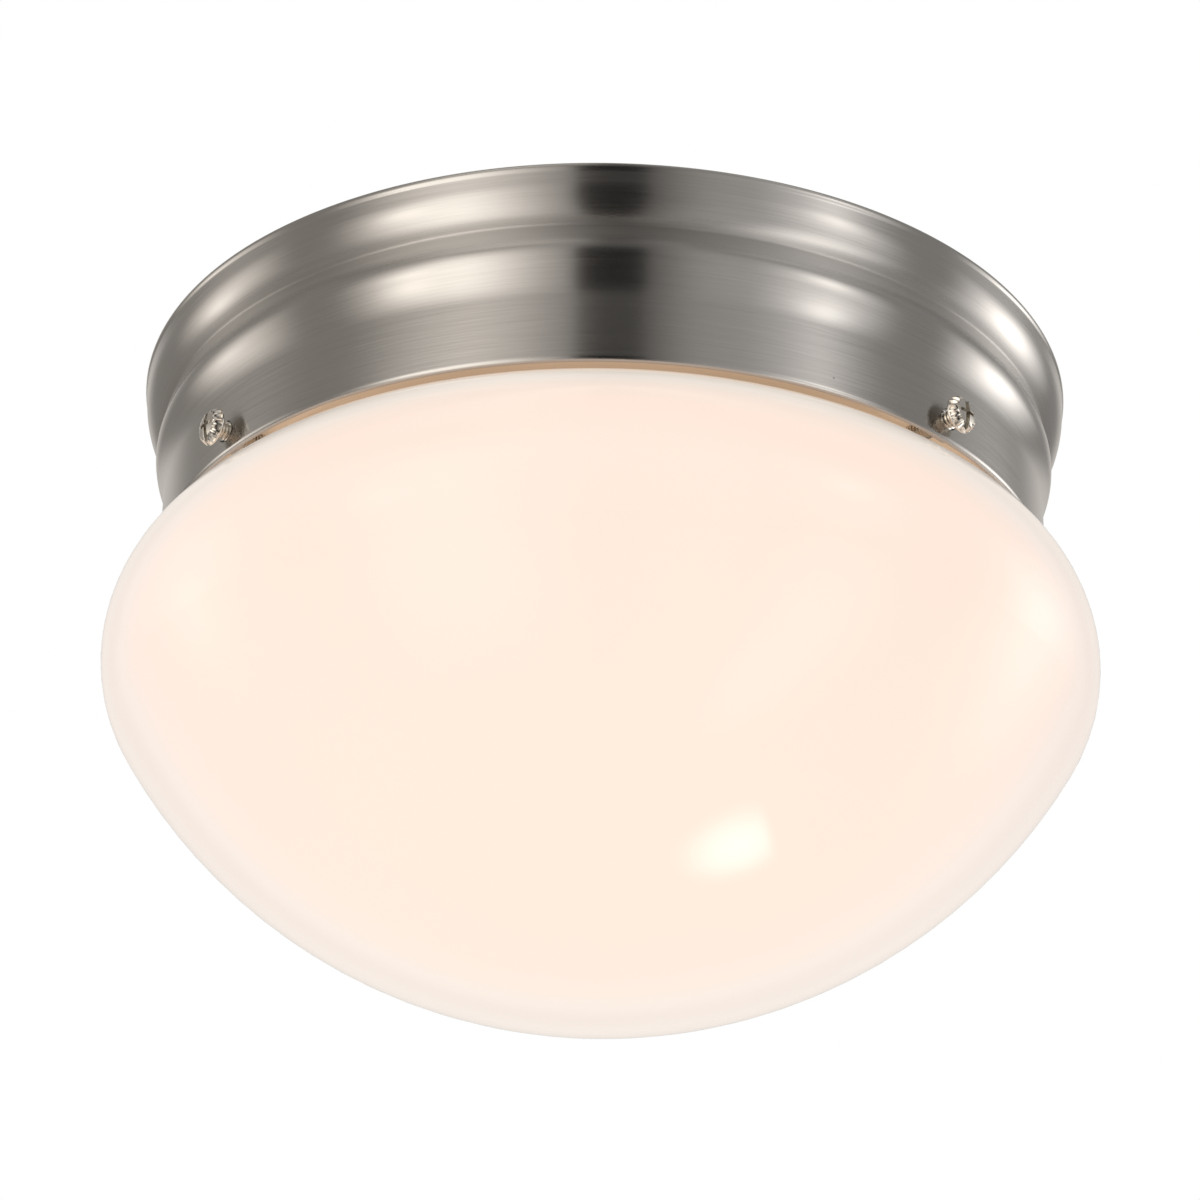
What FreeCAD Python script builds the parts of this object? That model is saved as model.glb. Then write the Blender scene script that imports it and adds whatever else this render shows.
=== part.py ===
import FreeCAD, Part
import math
import os
import Sketcher

# A flush ceiling light: a spun metal pan, an opal mushroom glass held by three side
# screws, and two lamps that lie side by side inside. Millimetres, +Z up. The origin
# is the centre of the plane where the pan's rim meets the ceiling, and the side with
# the two close screws faces -Y.

SIZES = {
    # spun pan, from the ceiling downwards
    "pan_radius": 114.5,
    "pan_depth": 48.5,
    "pan_wall": 0.8,
    "rim_width": 15.5,
    "recess_depth": 8.0,
    "bend_round": 1.2,
    "bead_round": 1.35,
    "bead_sweep": 50.0,
    "drum_step": 0.5,
    "drum_height": 4.6,
    "drum_round": 11.0,
    "drum_sweep": 52.0,
    "cove_round": 1.6,
    "cove_flare": 30.0,
    "flare_length": 1.249,
    "crest_upper_round": 6.0,
    "crest_lower_round": 10.0,
    "crest_sweep": 25.0,
    "band_step": 2.5,
    "lip_round": 1.0,
    "lip_turn": 1.1,
    # opal glass, which follows the pan
    "glass_overhang": 5.9,
    "glass_hang": 108.5,
    "glass_shoulder": 30.5,
    "glass_gap": 1.315,
    "glass_wall": 3.0,
    "neck_gap": 12.8,
    "neck_fillet": 1.8,
    "bead_overhang": 5.0,
    "bead_height": 4.4,
    "bead_edge": 1.4,
    "bead_fillet": 0.7,
    # screws that hold the glass
    "screw_shaft": 2.4,
    "screw_head": 4.5,
    "screw_rim": 0.8,
    "screw_dome": 1.9,
    "screw_standoff": 2.9,
    "screw_point": 1.2,
    "screw_rise": 6.0,
    "screw_spread": 50.6,
    "screw_slot": 1.0,
    "screw_slot_depth": 1.0,
    "nut_radius": 4.6,
    "nut_height": 3.0,
    "thread_gap": 0.05,
    # openings in the back of the pan
    "wire_hole": 11.0,
    "slot_place": 39.7,
    "slot_radius": 2.5,
    "slot_run": 4.8,
    # wire bushing
    "bushing_wall": 2.5,
    "bushing_flange": 2.5,
    "bushing_snap": 0.7,
    "bushing_lip": 1.5,
    # insulation
    "pad_opening": 50.0,
    "pad_gap": 2.0,
    "pad_height": 7.2,
    "pad_relief": 4.2,
    # earth screw
    "earth_place": 28.0,
    "earth_shaft": 2.05,
    "earth_length": 6.0,
    "earth_flange": 5.0,
    "earth_flange_height": 0.8,
    "earth_hex": 3.7,
    "earth_head": 2.6,
    # lamp positions
    "lamp_gap": 4.35,
    "lamp_drop": 50.0,
    "lamp_reach": 44.0,
    # lamp, measured from its contact tip
    "lamp_length": 106.0,
    "lamp_radius": 30.15,
    "lamp_wall": 1.4,
    "lamp_dome": 40.0,
    "lamp_neck": 0.5,
    "lamp_flare": 80.0,
    "cap_radius": 13.1,
    "cap_wall": 0.4,
    "cap_start": 3.2,
    "cap_end": 25.5,
    "tip_radius": 4.8,
    "tip_height": 1.0,
    "board_height": 1.6,
    # lampholder, measured from the lamp's contact tip
    "holder_back": 18.0,
    "holder_mouth": 24.0,
    "holder_radius": 17.0,
    "holder_rim": 19.5,
    "holder_rim_height": 8.0,
    "holder_edge": 1.5,
    "shell_gap": 0.2,
    "shell_wall": 0.5,
    "shell_floor": 1.5,
    "shell_eye": 8.0,
    "chamber_floor": 6.0,
    "lead_hole": 1.5,
    "lead_place": 3.5,
    "contact_width": 6.0,
    "contact_sheet": 0.5,
    "contact_reach": 3.0,
    "contact_foot": 6.5,
    # bracket that carries a lampholder
    "bracket_width": 24.0,
    "bracket_sheet": 1.2,
    "bracket_foot": 18.0,
    "bracket_tail": 15.0,
    "bracket_window": 5.5,
    "holder_screw_place": 9.5,
    "holder_screw_shaft": 1.8,
    "holder_screw_depth": 8.0,
    "holder_screw_head": 3.4,
    "holder_screw_height": 2.2,
    "rivet_radius": 1.6,
    "rivet_head": 3.2,
    "rivet_height": 1.2,
    "rivet_place": 10.0,
    "rivet_spread": 6.5,
    # running room around pieces that only touch
    "seat_gap": 0.3,
}

document = FreeCAD.newDocument("ceiling_light")
sheet = document.addObject("Spreadsheet::Sheet", "Sizes")
derived = document.addObject("App::VarSet", "Derived")
pieces = []


class Size:
    # A length, angle or ratio that knows its number and the expression it comes from.
    def __init__(self, number, text):
        self.number = float(number)
        self.text = text

    def __add__(self, other):
        other = as_size(other)
        return Size(self.number + other.number, f"({self.text} + {other.text})")

    def __sub__(self, other):
        other = as_size(other)
        return Size(self.number - other.number, f"({self.text} - {other.text})")

    def __mul__(self, other):
        other = as_size(other)
        return Size(self.number * other.number, f"({self.text} * {other.text})")

    def __truediv__(self, other):
        other = as_size(other)
        return Size(self.number / other.number, f"({self.text} / {other.text})")

    def __neg__(self):
        return Size(-self.number, f"(0 - {self.text})")


def as_size(value):
    return value if isinstance(value, Size) else Size(value, str(value))


def size(name):
    return Size(SIZES[name], f"Sizes.{name}")


def cosine(angle):
    angle = as_size(angle)
    return Size(math.cos(math.radians(angle.number)), f"cos({angle.text})")


def sine(angle):
    angle = as_size(angle)
    return Size(math.sin(math.radians(angle.number)), f"sin({angle.text})")


def root(value):
    return Size(math.sqrt(value.number), f"sqrt({value.text})")


def named(name, value):
    # A worked-out value that the document keeps under its own name.
    derived.addProperty("App::PropertyFloat", name, "Derived")
    setattr(derived, name, value.number)
    derived.setExpression(name, value.text)
    return Size(value.number, f"Derived.{name}")


def worked(name):
    return Size(getattr(derived, name), f"Derived.{name}")


def fill_sheet():
    for row, (alias, number) in enumerate(SIZES.items(), 1):
        sheet.set(f"A{row}", alias)
        sheet.set(f"B{row}", str(number))
        sheet.setAlias(f"B{row}", alias)
    document.recompute()


def bind(item, name, value):
    value = as_size(value)
    setattr(item, name, value.number)
    item.setExpression(name, value.text)


def place(item, x=0, y=0, z=0, turn=None):
    # Puts an item at x, y, z, with an optional rotation.
    spot = [as_size(value) for value in (x, y, z)]
    base = FreeCAD.Vector(*[value.number for value in spot])
    item.Placement = FreeCAD.Placement(base, turn or FreeCAD.Rotation())
    for letter, value in zip("xyz", spot):
        item.setExpression(f".Placement.Base.{letter}", value.text)
    return item


def keep(item, label):
    # Marks an item as one of the pieces that are written out.
    item.Label = label
    pieces.append(item)
    return item


def origin_plane(body, role):
    return next(plane for plane in body.Origin.OriginFeatures if plane.Role == role)


def arc_between(first, last, radius):
    # The short arc from first to last; a positive radius turns to the left.
    chord = last - first
    middle = (first + last) * 0.5
    side = FreeCAD.Vector(-chord.y, chord.x, 0)
    side.normalize()
    rise = math.sqrt(max(radius ** 2 - (chord.Length / 2) ** 2, 0))
    centre = middle + side * math.copysign(rise, radius)
    start = math.atan2(first.y - centre.y, first.x - centre.x)
    end = math.atan2(last.y - centre.y, last.x - centre.x)
    if radius < 0:
        start, end = end, start
    circle = Part.Circle(centre, FreeCAD.Vector(0, 0, 1), abs(radius))
    return Part.ArcOfCircle(circle, start, end)


def outline(body, role, corners):
    # A closed sketch through corners (x, y, radius). The radius belongs to the edge that
    # leaves the corner: None for a straight one, and its sign as in arc_between.
    sketch = body.newObject("Sketcher::SketchObject", body.Name + "_outline")
    sketch.AttachmentSupport = [(origin_plane(body, role), "")]
    sketch.MapMode = "FlatFace"
    corners = [(as_size(x), as_size(y), radius) for x, y, radius in corners]
    ends = [add_edge(sketch, corners, index) for index in range(len(corners))]
    for index, (x, y, radius) in enumerate(corners):
        start, end = ends[index]
        following = (index + 1) % len(corners)
        sketch.addConstraint(
            Sketcher.Constraint("Coincident", index, end, following, ends[following][0]))
        pin_corner(sketch, "DistanceX", index, start, x)
        pin_corner(sketch, "DistanceY", index, start, y)
        if radius is not None:
            pin_radius(sketch, index, radius)
    return sketch


def add_edge(sketch, corners, index):
    # Draws the edge that leaves a corner, and returns which of its ends come first and last.
    x, y, radius = corners[index]
    next_x, next_y, next_radius = corners[(index + 1) % len(corners)]
    first = FreeCAD.Vector(x.number, y.number, 0)
    last = FreeCAD.Vector(next_x.number, next_y.number, 0)
    if radius is None:
        sketch.addGeometry(Part.LineSegment(first, last), False)
        return (1, 2)
    sketch.addGeometry(arc_between(first, last, radius.number), False)
    return (1, 2) if radius.number > 0 else (2, 1)


def pin_corner(sketch, kind, edge, end, value):
    row = sketch.addConstraint(Sketcher.Constraint(kind, -1, 1, edge, end, value.number))
    sketch.setExpression(f"Constraints[{row}]", value.text)


def pin_radius(sketch, edge, radius):
    row = sketch.addConstraint(Sketcher.Constraint("Radius", edge, abs(radius.number)))
    sketch.setExpression(f"Constraints[{row}]", f"abs({radius.text})")


def turned(name, corners):
    # A body turned about its own Z axis; corners are (radius from the axis, height, arc).
    body = document.addObject("PartDesign::Body", name)
    sketch = outline(body, "XZ_Plane", corners)
    revolution = body.newObject("PartDesign::Revolution", name + "_turned")
    revolution.Profile = sketch
    revolution.ReferenceAxis = (sketch, ["V_Axis"])
    revolution.Angle = 360
    return body


def folded(name, corners, width):
    # A body with a side outline in its XZ plane, as wide as given about that plane.
    body = document.addObject("PartDesign::Body", name)
    sketch = outline(body, "XZ_Plane", corners)
    pad = body.newObject("PartDesign::Pad", name + "_wide")
    pad.Profile = sketch
    pad.Midplane = True
    bind(pad, "Length", width)
    return body


def cylinder(name, radius, height):
    item = document.addObject("Part::Cylinder", name)
    bind(item, "Radius", radius)
    bind(item, "Height", height)
    return item


def block(name, length, width, height):
    item = document.addObject("Part::Box", name)
    bind(item, "Length", length)
    bind(item, "Width", width)
    bind(item, "Height", height)
    return item


def prism(name, circumradius, height):
    item = document.addObject("Part::Prism", name)
    item.Polygon = 6
    bind(item, "Circumradius", circumradius)
    bind(item, "Height", height)
    return item


def group(name, items):
    item = document.addObject("Part::Compound", name)
    item.Links = items
    return item


def join(name, items):
    item = document.addObject("Part::MultiFuse", name)
    item.Shapes = items
    return item


def cut(name, base, tools):
    item = document.addObject("Part::Cut", name)
    item.Base = base
    item.Tool = tools[0] if len(tools) == 1 else group(name + "_tools", tools)
    return item


def turn_about(axis, degrees):
    return FreeCAD.Rotation(FreeCAD.Vector(*axis), degrees)


# Values that several pieces share.

def work_out_pan():
    # Each tier of the pan starts where the one above it ends.
    named("recess_radius", size("pan_radius") - size("rim_width"))
    drum = size("drum_round")
    sweep = size("drum_sweep")
    cove = size("cove_round")
    flare = size("cove_flare")
    run = size("flare_length")
    upper = size("crest_upper_round")
    drum_x = named("drum_x", size("pan_radius") - size("drum_step") - drum)
    cove_x = named("cove_x", drum_x + (drum + cove) * cosine(sweep))
    cove_y = named("cove_y", -size("drum_height") - (drum + cove) * sine(sweep))
    flare_x = cove_x - cove * cosine(flare) + run * sine(flare)
    flare_y = cove_y - cove * sine(flare) - run * cosine(flare)
    crest = named("crest_radius", flare_x + upper - upper * cosine(flare))
    named("crest_y", flare_y - upper * sine(flare))
    band = named("band_radius", crest - size("band_step"))
    named("lip_radius", band - size("lip_turn"))
    named("screw_height", size("screw_rise") - size("pan_depth"))


def work_out_glass():
    # The glass hangs clear of the lip by the glass gap, whatever the pan's size.
    shoulder = size("glass_shoulder")
    radius = size("pan_radius") + size("glass_overhang")
    hub = named("glass_hub", radius - shoulder)
    reach = shoulder + size("glass_gap")
    inset = worked("lip_radius") - hub
    widest = named("glass_widest", -size("pan_depth") - root(reach * reach - inset * inset))
    bottom = named("glass_bottom", -size("pan_depth") - size("glass_hang"))
    drop = named("glass_drop", widest - bottom)
    square = hub * hub + drop * drop - shoulder * shoulder
    bowl = named("bowl_round", square / ((drop - shoulder) * 2))
    named("bowl_cosine", hub / (bowl - shoulder))
    named("bowl_sine", (bowl - drop) / (bowl - shoulder))
    neck = named("neck_radius", worked("band_radius") - size("neck_gap"))
    fillet = size("neck_fillet")
    high_cosine = named("neck_cosine", (neck + fillet - hub) / (shoulder + fillet))
    high_sine = named("neck_sine", root(as_size(1) - high_cosine * high_cosine))
    named("neck_low", widest + (shoulder + fillet) * high_sine)
    named("bead_radius", neck + size("bead_overhang"))
    named("bead_under", worked("screw_height") + size("screw_shaft") + size("seat_gap"))


def work_out_lamps():
    # The two lamps pass each other's holders with the lamp gap between them.
    radius = size("lamp_radius")
    named("lamp_offset", (radius + size("holder_rim") + size("lamp_gap")) / 2)
    named("lamp_seam", size("lamp_length") - size("lamp_dome"))
    centre = named("dome_centre", size("lamp_length") - radius)
    rise = centre - worked("lamp_seam")
    inside = radius - size("lamp_wall")
    named("seam_radius", root(radius * radius - rise * rise))
    named("inner_seam", root(inside * inside - rise * rise))
    named("shell_radius", size("cap_radius") + size("shell_gap") + size("shell_wall"))


# The spun pan.

def bend(centre_x, centre_y, radius, first, last, bulge, run=True):
    # One bend of the sheet. Its radius is that of the outer face; bulge is 1 where the
    # outer face is on the outside of the bend, and -1 where it is on the inside. Run
    # says whether a straight stretch follows before the next bend.
    ends = {"first": first, "last": last, "run": run}
    return {"x": centre_x, "y": centre_y, "radius": radius, "bulge": bulge, **ends}


def face_points(bends, offset):
    # Start and end of each bend on the face that lies offset inside the outer face.
    points = []
    for item in bends:
        radius = item["radius"] - offset * item["bulge"]
        ends = []
        for angle in (item["first"], item["last"]):
            ends.append((item["x"] + radius * cosine(angle), item["y"] + radius * sine(angle)))
        points.append((ends[0], ends[1], radius))
    return points


def pan_bends():
    inner = size("bend_round")
    outer = inner + size("pan_wall")
    recess = worked("recess_radius")
    radius = size("pan_radius")
    bead = size("bead_round")
    bends = [
        bend(recess - inner, inner - size("recess_depth"), inner, as_size(-90), as_size(0), -1),
        bend(recess + outer, -outer, outer, as_size(180), as_size(90), 1),
        bend(radius - bead, -bead, bead, as_size(90), -size("bead_sweep"), 1),
    ]

    # upper tier: a short drum that rounds in under itself
    sweep = size("drum_sweep")
    drum_y = -size("drum_height")
    drum = size("drum_round")
    bends.append(bend(worked("drum_x"), drum_y, drum, as_size(0), -sweep, 1, run=False))

    # cove between the tiers, which flares out again to the crest of the lower tier
    flare = size("cove_flare")
    cove_ends = (as_size(180) - sweep, as_size(180) + flare)
    bends.append(bend(worked("cove_x"), worked("cove_y"), size("cove_round"), *cove_ends, -1))
    upper = size("crest_upper_round")
    crest = worked("crest_radius")
    crest_y = worked("crest_y")
    bends.append(bend(crest - upper, crest_y, upper, flare, as_size(0), 1, run=False))

    # lower tier: from the crest the wall eases back to the straight band
    lower = size("crest_lower_round")
    ease = size("crest_sweep")
    band = worked("band_radius")
    bends.append(bend(crest - lower, crest_y, lower, as_size(0), -ease, 1, run=False))
    ease_run = crest - lower + lower * cosine(ease) - band
    ease_round = named("ease_round", ease_run / (as_size(1) - cosine(ease)))
    ease_y = named("ease_y", crest_y - (lower + ease_round) * sine(ease))
    ease_ends = (as_size(180) - ease, as_size(180))
    bends.append(bend(band + ease_round, ease_y, ease_round, *ease_ends, -1))

    # turned-in lip
    lip = size("lip_round")
    bends.append(bend(band - lip, lip - size("pan_depth"), lip, as_size(0), as_size(-90), 1))
    return bends


def pan_corners():
    wall = size("pan_wall")
    recess = -size("recess_depth")
    edge = worked("lip_radius")
    bottom = -size("pan_depth")
    bends = pan_bends()
    corners = [(size("wire_hole"), recess, None)]
    for item, (first, last, radius) in zip(bends, face_points(bends, as_size(0))):
        corners.append((*first, -radius if item["bulge"] > 0 else radius))
        if item["run"]:
            corners.append((*last, None))
    corners.append((edge, bottom, None))
    corners.append((edge, bottom + wall, None))
    # the inner face goes back the other way
    inner = list(zip(bends, face_points(bends, wall)))
    for index in reversed(range(len(bends))):
        item, (first, last, radius) = inner[index]
        corners.append((*last, radius if item["bulge"] > 0 else -radius))
        if index == 0 or bends[index - 1]["run"]:
            corners.append((*first, None))
    corners.append((size("wire_hole"), recess - wall, None))
    return corners


def screw_angles():
    # The screws' numbers and directions: two near the front and one at the back.
    spread = size("screw_spread")
    return list(enumerate((-spread, spread, as_size(180)), 1))


def place_around(item, angle, reach):
    # At the screws' height, with local Z outwards at an angle from the front, -Y,
    # counted towards +X.
    turn = turn_about((0, 0, 1), angle.number) * turn_about((1, 0, 0), 90)
    return place(item, reach * sine(angle), -reach * cosine(angle), worked("screw_height"), turn)


def make_pan():
    # Every drill starts clear of one face of the sheet and ends clear of the other.
    wall = size("pan_wall")
    low = -size("recess_depth") - wall * 2
    through = wall * 3
    tools = [box_slot(side, low, through) for side in (-1, 1)]
    for number, angle in screw_angles():
        hole = cylinder(f"screw_hole_{number}", size("screw_shaft") + size("seat_gap"), through * 2)
        tools.append(place_around(hole, angle, worked("band_radius") - through))
    for number, (x, y) in enumerate(rivet_places(), 1):
        hole = cylinder(f"rivet_hole_{number}", size("rivet_radius"), through)
        tools.append(place(hole, x, y, low))
    hole = cylinder("earth_hole", size("earth_shaft") + size("thread_gap"), through)
    tools.append(place(hole, 0, size("earth_place"), low))
    shell = turned("pan_shell", pan_corners())
    return keep(cut("pan", shell, tools), "pan")


def box_slot(side, base, height):
    # A radial slot that takes the outlet box's screws at either of two spacings.
    name = "slot_left" if side < 0 else "slot_right"
    half = size("slot_radius")
    run = size("slot_run")
    middle = size("slot_place") * side
    parts = [place(block(name + "_run", run * 2, half * 2, height), middle - run, -half, base)]
    for end in (-1, 1):
        post = cylinder(f"{name}_end_{end + 2}", half, height)
        parts.append(place(post, middle + run * end, 0, base))
    return join(name, parts)


# The opal glass.

def make_glass():
    wall = size("glass_wall")
    widest = worked("glass_widest")
    bottom = worked("glass_bottom")
    shoulder = size("glass_shoulder")
    inside = shoulder - wall
    hub = worked("glass_hub")
    bowl = worked("bowl_round")
    low = (worked("bowl_cosine"), worked("bowl_sine"))
    high = (worked("neck_cosine"), worked("neck_sine"))
    neck = worked("neck_radius")
    fillet = size("neck_fillet")
    under = worked("bead_under")
    top = under + size("bead_height")
    edge = size("bead_edge")
    tuck = size("bead_fillet")
    bead = worked("bead_radius")
    inner = neck - wall
    corners = [
        (0, bottom + wall, bowl - wall),
        (hub + inside * low[0], widest - inside * low[1], inside),
        (hub + inside * high[0], widest + inside * high[1], -(fillet + wall)),
        (inner, worked("neck_low"), None),
        (inner, top - edge, -edge),
        (inner + edge, top, None),
        (bead - edge, top, -edge),
        (bead, top - edge, None),
        (bead, under + edge, -edge),
        (bead - edge, under, None),
        (neck + tuck, under, tuck),
        (neck, under - tuck, None),
        (neck, worked("neck_low"), fillet),
        (hub + shoulder * high[0], widest + shoulder * high[1], -shoulder),
        (hub + shoulder * low[0], widest - shoulder * low[1], -bowl),
        (0, bottom, None),
    ]
    return keep(turned("glass_shade", corners), "glass_shade")


# Screws and nuts that hold the glass.

def make_shade_screws():
    shaft = size("screw_shaft")
    head = size("screw_head")
    rim = size("screw_rim")
    dome = size("screw_dome")
    point = size("screw_point")
    tip = named("screw_tip", worked("neck_radius") + size("seat_gap"))
    length = named("screw_length", worked("band_radius") - tip + size("screw_standoff"))
    crown = named("crown_round", (head * head + dome * dome) / (dome * 2))
    corners = [
        (0, 0, None),
        (shaft - point, 0, None),
        (shaft, point, None),
        (shaft, length, None),
        (head, length, None),
        (head, length + rim, crown),
        (0, length + rim + dome, None),
    ]
    slot_width = size("screw_slot")
    slot_floor = length + rim + dome - size("screw_slot_depth")
    for number, angle in screw_angles():
        blank = turned(f"screw_blank_{number}", corners)
        slot = block(f"screw_slot_{number}", slot_width, head * 3, dome * 2)
        place(slot, slot_width / -2, head * -1.5, slot_floor)
        screw = cut(f"shade_screw_{number}", blank, [slot])
        keep(place_around(screw, angle, tip), f"shade_screw_{number}")


def make_shade_nuts():
    # The flat nut touches the round wall at two of its corners.
    wall_face = worked("band_radius") - size("pan_wall")
    corner = size("nut_radius")
    height = size("nut_height")
    seat = named("nut_seat", root(wall_face * wall_face - corner * corner) - height)
    for number, angle in screw_angles():
        blank = prism(f"nut_blank_{number}", corner, height)
        bore = cylinder(f"nut_bore_{number}", size("screw_shaft") + size("thread_gap"), height * 3)
        nut = cut(f"shade_nut_{number}", blank, [place(bore, 0, 0, -height)])
        keep(place_around(nut, angle, seat), f"shade_nut_{number}")


# Pieces on the back of the pan.

def rivet_places():
    along = size("lamp_reach") + size("rivet_place")
    places = []
    for side in (-1, 1):
        for step in (-1, 1):
            across = (worked("lamp_offset") + size("rivet_spread") * step) * -side
            places.append((along * side, across))
    return places


def make_insulation():
    opening = size("pad_opening")
    outer = worked("recess_radius") - size("pad_gap")
    low = -size("recess_depth")
    corners = [
        (opening, low, None),
        (outer, low, None),
        (outer, low + size("pad_height"), None),
        (opening, low + size("pad_height"), None),
    ]
    ring = turned("insulation_ring", corners)
    tools = []
    for number, (x, y) in enumerate(rivet_places(), 1):
        relief = cylinder(f"pad_relief_{number}", size("pad_relief"), size("rivet_height") * 2)
        tools.append(place(relief, x, y, low - size("rivet_height")))
    return keep(cut("insulation_pad", ring, tools), "insulation_pad")


def make_bushing():
    wall = size("pan_wall")
    hole = size("wire_hole")
    bore = hole - size("bushing_wall")
    waist = hole - size("thread_gap")
    flange = hole + size("bushing_flange")
    snap = hole + size("bushing_snap")
    lip = size("bushing_lip")
    plate_top = -size("recess_depth")
    plate_low = plate_top - wall
    corners = [
        (bore, plate_low - lip, None),
        (flange - lip, plate_low - lip, lip),
        (flange, plate_low, None),
        (waist, plate_low, None),
        (waist, plate_top, None),
        (snap, plate_top, None),
        (waist, plate_top + lip, None),
        (bore, plate_top + lip, None),
    ]
    return keep(turned("wire_bushing", corners), "wire_bushing")


def make_earth_screw():
    plate_low = -size("recess_depth") - size("pan_wall")
    low = plate_low - size("earth_flange_height")
    corners = [
        (0, low, None),
        (size("earth_flange"), low, None),
        (size("earth_flange"), plate_low, None),
        (size("earth_shaft"), plate_low, None),
        (size("earth_shaft"), low + size("earth_length"), None),
        (0, low + size("earth_length"), None),
    ]
    stem = turned("earth_stem", corners)
    hexagon = prism("earth_hex", size("earth_hex"), size("earth_head"))
    place(hexagon, 0, 0, low - size("earth_head"))
    screw = join("earth_screw", [stem, hexagon])
    return keep(place(screw, 0, size("earth_place"), 0), "earth_screw")


# Lamps and lampholders.

def place_lamp_item(item, side, along=0):
    # Side -1 is the lamp whose holder is at -X. Local Z runs from holder to lamp, and
    # local X points down.
    turn = turn_about((0, 1, 0), 90)
    if side > 0:
        turn = turn_about((0, 0, 1), 180) * turn
    x = (size("lamp_reach") - along) * side
    y = worked("lamp_offset") * -side
    return place(item, x, y, -size("lamp_drop"), turn)


def make_lamp(side, number):
    make_lamp_dome(side, number)
    make_lamp_housing(side, number)
    make_lamp_board(side, number)
    make_lamp_cap(side, number)
    make_lamp_tip(side, number)


def make_lamp_dome(side, number):
    centre = worked("dome_centre")
    seam = worked("lamp_seam")
    radius = size("lamp_radius")
    wall = size("lamp_wall")
    inside = radius - wall
    corners = [
        (worked("inner_seam"), seam, None),
        (worked("seam_radius"), seam, radius),
        (radius, centre, radius),
        (0, size("lamp_length"), None),
        (0, size("lamp_length") - wall, -inside),
        (inside, centre, -inside),
    ]
    dome = turned(f"bulb_dome_{number}", corners)
    keep(place_lamp_item(dome, side), f"bulb_dome_{number}")


def make_lamp_housing(side, number):
    wall = size("lamp_wall")
    neck = size("cap_radius") + size("lamp_neck")
    flare = size("lamp_flare")
    end = size("cap_end")
    low = size("cap_start") + wall
    seam = worked("lamp_seam")
    rim = worked("seam_radius")
    collar = size("cap_radius") - size("cap_wall")
    ledge = seam - size("board_height") - wall
    corners = [
        (collar - wall, low, None),
        (collar, low, None),
        (collar, end, None),
        (neck, end, None),
        (neck, end + wall * 2, -flare),
        (rim, seam, None),
        (rim - wall, seam, None),
        (rim - wall, ledge + wall, None),
        (rim - wall * 2, ledge + wall, None),
        (rim - wall * 2, ledge, flare + wall),
        (neck - wall, end + wall * 2, None),
        (collar - wall, end, None),
    ]
    housing = turned(f"bulb_housing_{number}", corners)
    keep(place_lamp_item(housing, side), f"bulb_housing_{number}")


def make_lamp_board(side, number):
    radius = worked("seam_radius") - size("lamp_wall") - size("thread_gap")
    height = size("board_height")
    board = cylinder(f"bulb_board_{number}", radius, height)
    board = place_lamp_item(board, side, along=worked("lamp_seam") - height)
    keep(board, f"bulb_board_{number}")


def make_lamp_cap(side, number):
    radius = size("cap_radius")
    wall = size("cap_wall")
    start = size("cap_start")
    corners = [
        (size("tip_radius"), size("tip_height"), None),
        (radius - wall * 2, start, None),
        (radius, start + wall * 2, None),
        (radius, size("cap_end"), None),
        (radius - wall, size("cap_end"), None),
        (radius - wall, start + wall * 3, None),
        (radius - wall * 3, start + wall, None),
        (size("tip_radius"), size("tip_height") + wall * 2, None),
    ]
    cap = turned(f"bulb_cap_{number}", corners)
    keep(place_lamp_item(cap, side), f"bulb_cap_{number}")


def make_lamp_tip(side, number):
    radius = size("tip_radius")
    corners = [
        (0, 0, None),
        (radius - size("tip_height"), 0, size("tip_height")),
        (radius, size("tip_height"), None),
        (radius, size("tip_height") + size("cap_wall") * 2, None),
        (0, size("tip_height") + size("cap_wall") * 2, None),
    ]
    tip = turned(f"bulb_tip_{number}", corners)
    keep(place_lamp_item(tip, side), f"bulb_tip_{number}")


def make_holder(side, number):
    back = -size("holder_back")
    mouth = size("holder_mouth")
    body = size("holder_radius")
    rim = size("holder_rim")
    edge = size("holder_edge")
    bore = worked("shell_radius") + size("thread_gap")
    eye = size("shell_eye")
    rim_low = mouth - size("holder_rim_height")
    corners = [
        (0, back, None),
        (body - edge, back, edge),
        (body, back + edge, None),
        (body, rim_low - (rim - body), None),
        (rim, rim_low, None),
        (rim, mouth - edge, edge),
        (rim - edge, mouth, None),
        (bore, mouth, None),
        (bore, -size("shell_floor"), None),
        (eye, -size("shell_floor"), None),
        (eye, -size("chamber_floor"), None),
        (0, -size("chamber_floor"), None),
    ]
    blank = turned(f"holder_blank_{number}", corners)
    depth = size("holder_screw_depth")
    tools = []
    for step in (-1, 1):
        pilot = cylinder(f"holder_pilot_{number}_{step + 2}", size("holder_screw_shaft"), depth * 2)
        tools.append(place(pilot, size("holder_screw_place") * step, 0, back - depth))
        lead = cylinder(f"lead_hole_{number}_{step + 2}", size("lead_hole"), size("holder_back"))
        tools.append(place(lead, 0, size("lead_place") * step, back - size("thread_gap")))
    holder = cut(f"lampholder_{number}", blank, tools)
    keep(place_lamp_item(holder, side), f"lampholder_{number}")


def make_shell(side, number):
    outer = worked("shell_radius")
    wall = size("shell_wall")
    floor = -size("shell_floor")
    top = size("holder_mouth") - size("holder_edge")
    corners = [
        (size("shell_eye"), floor, None),
        (outer, floor, None),
        (outer, top, None),
        (outer - wall, top, None),
        (outer - wall, floor + wall, None),
        (size("shell_eye"), floor + wall, None),
    ]
    shell = turned(f"screw_shell_{number}", corners)
    keep(place_lamp_item(shell, side), f"screw_shell_{number}")


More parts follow.
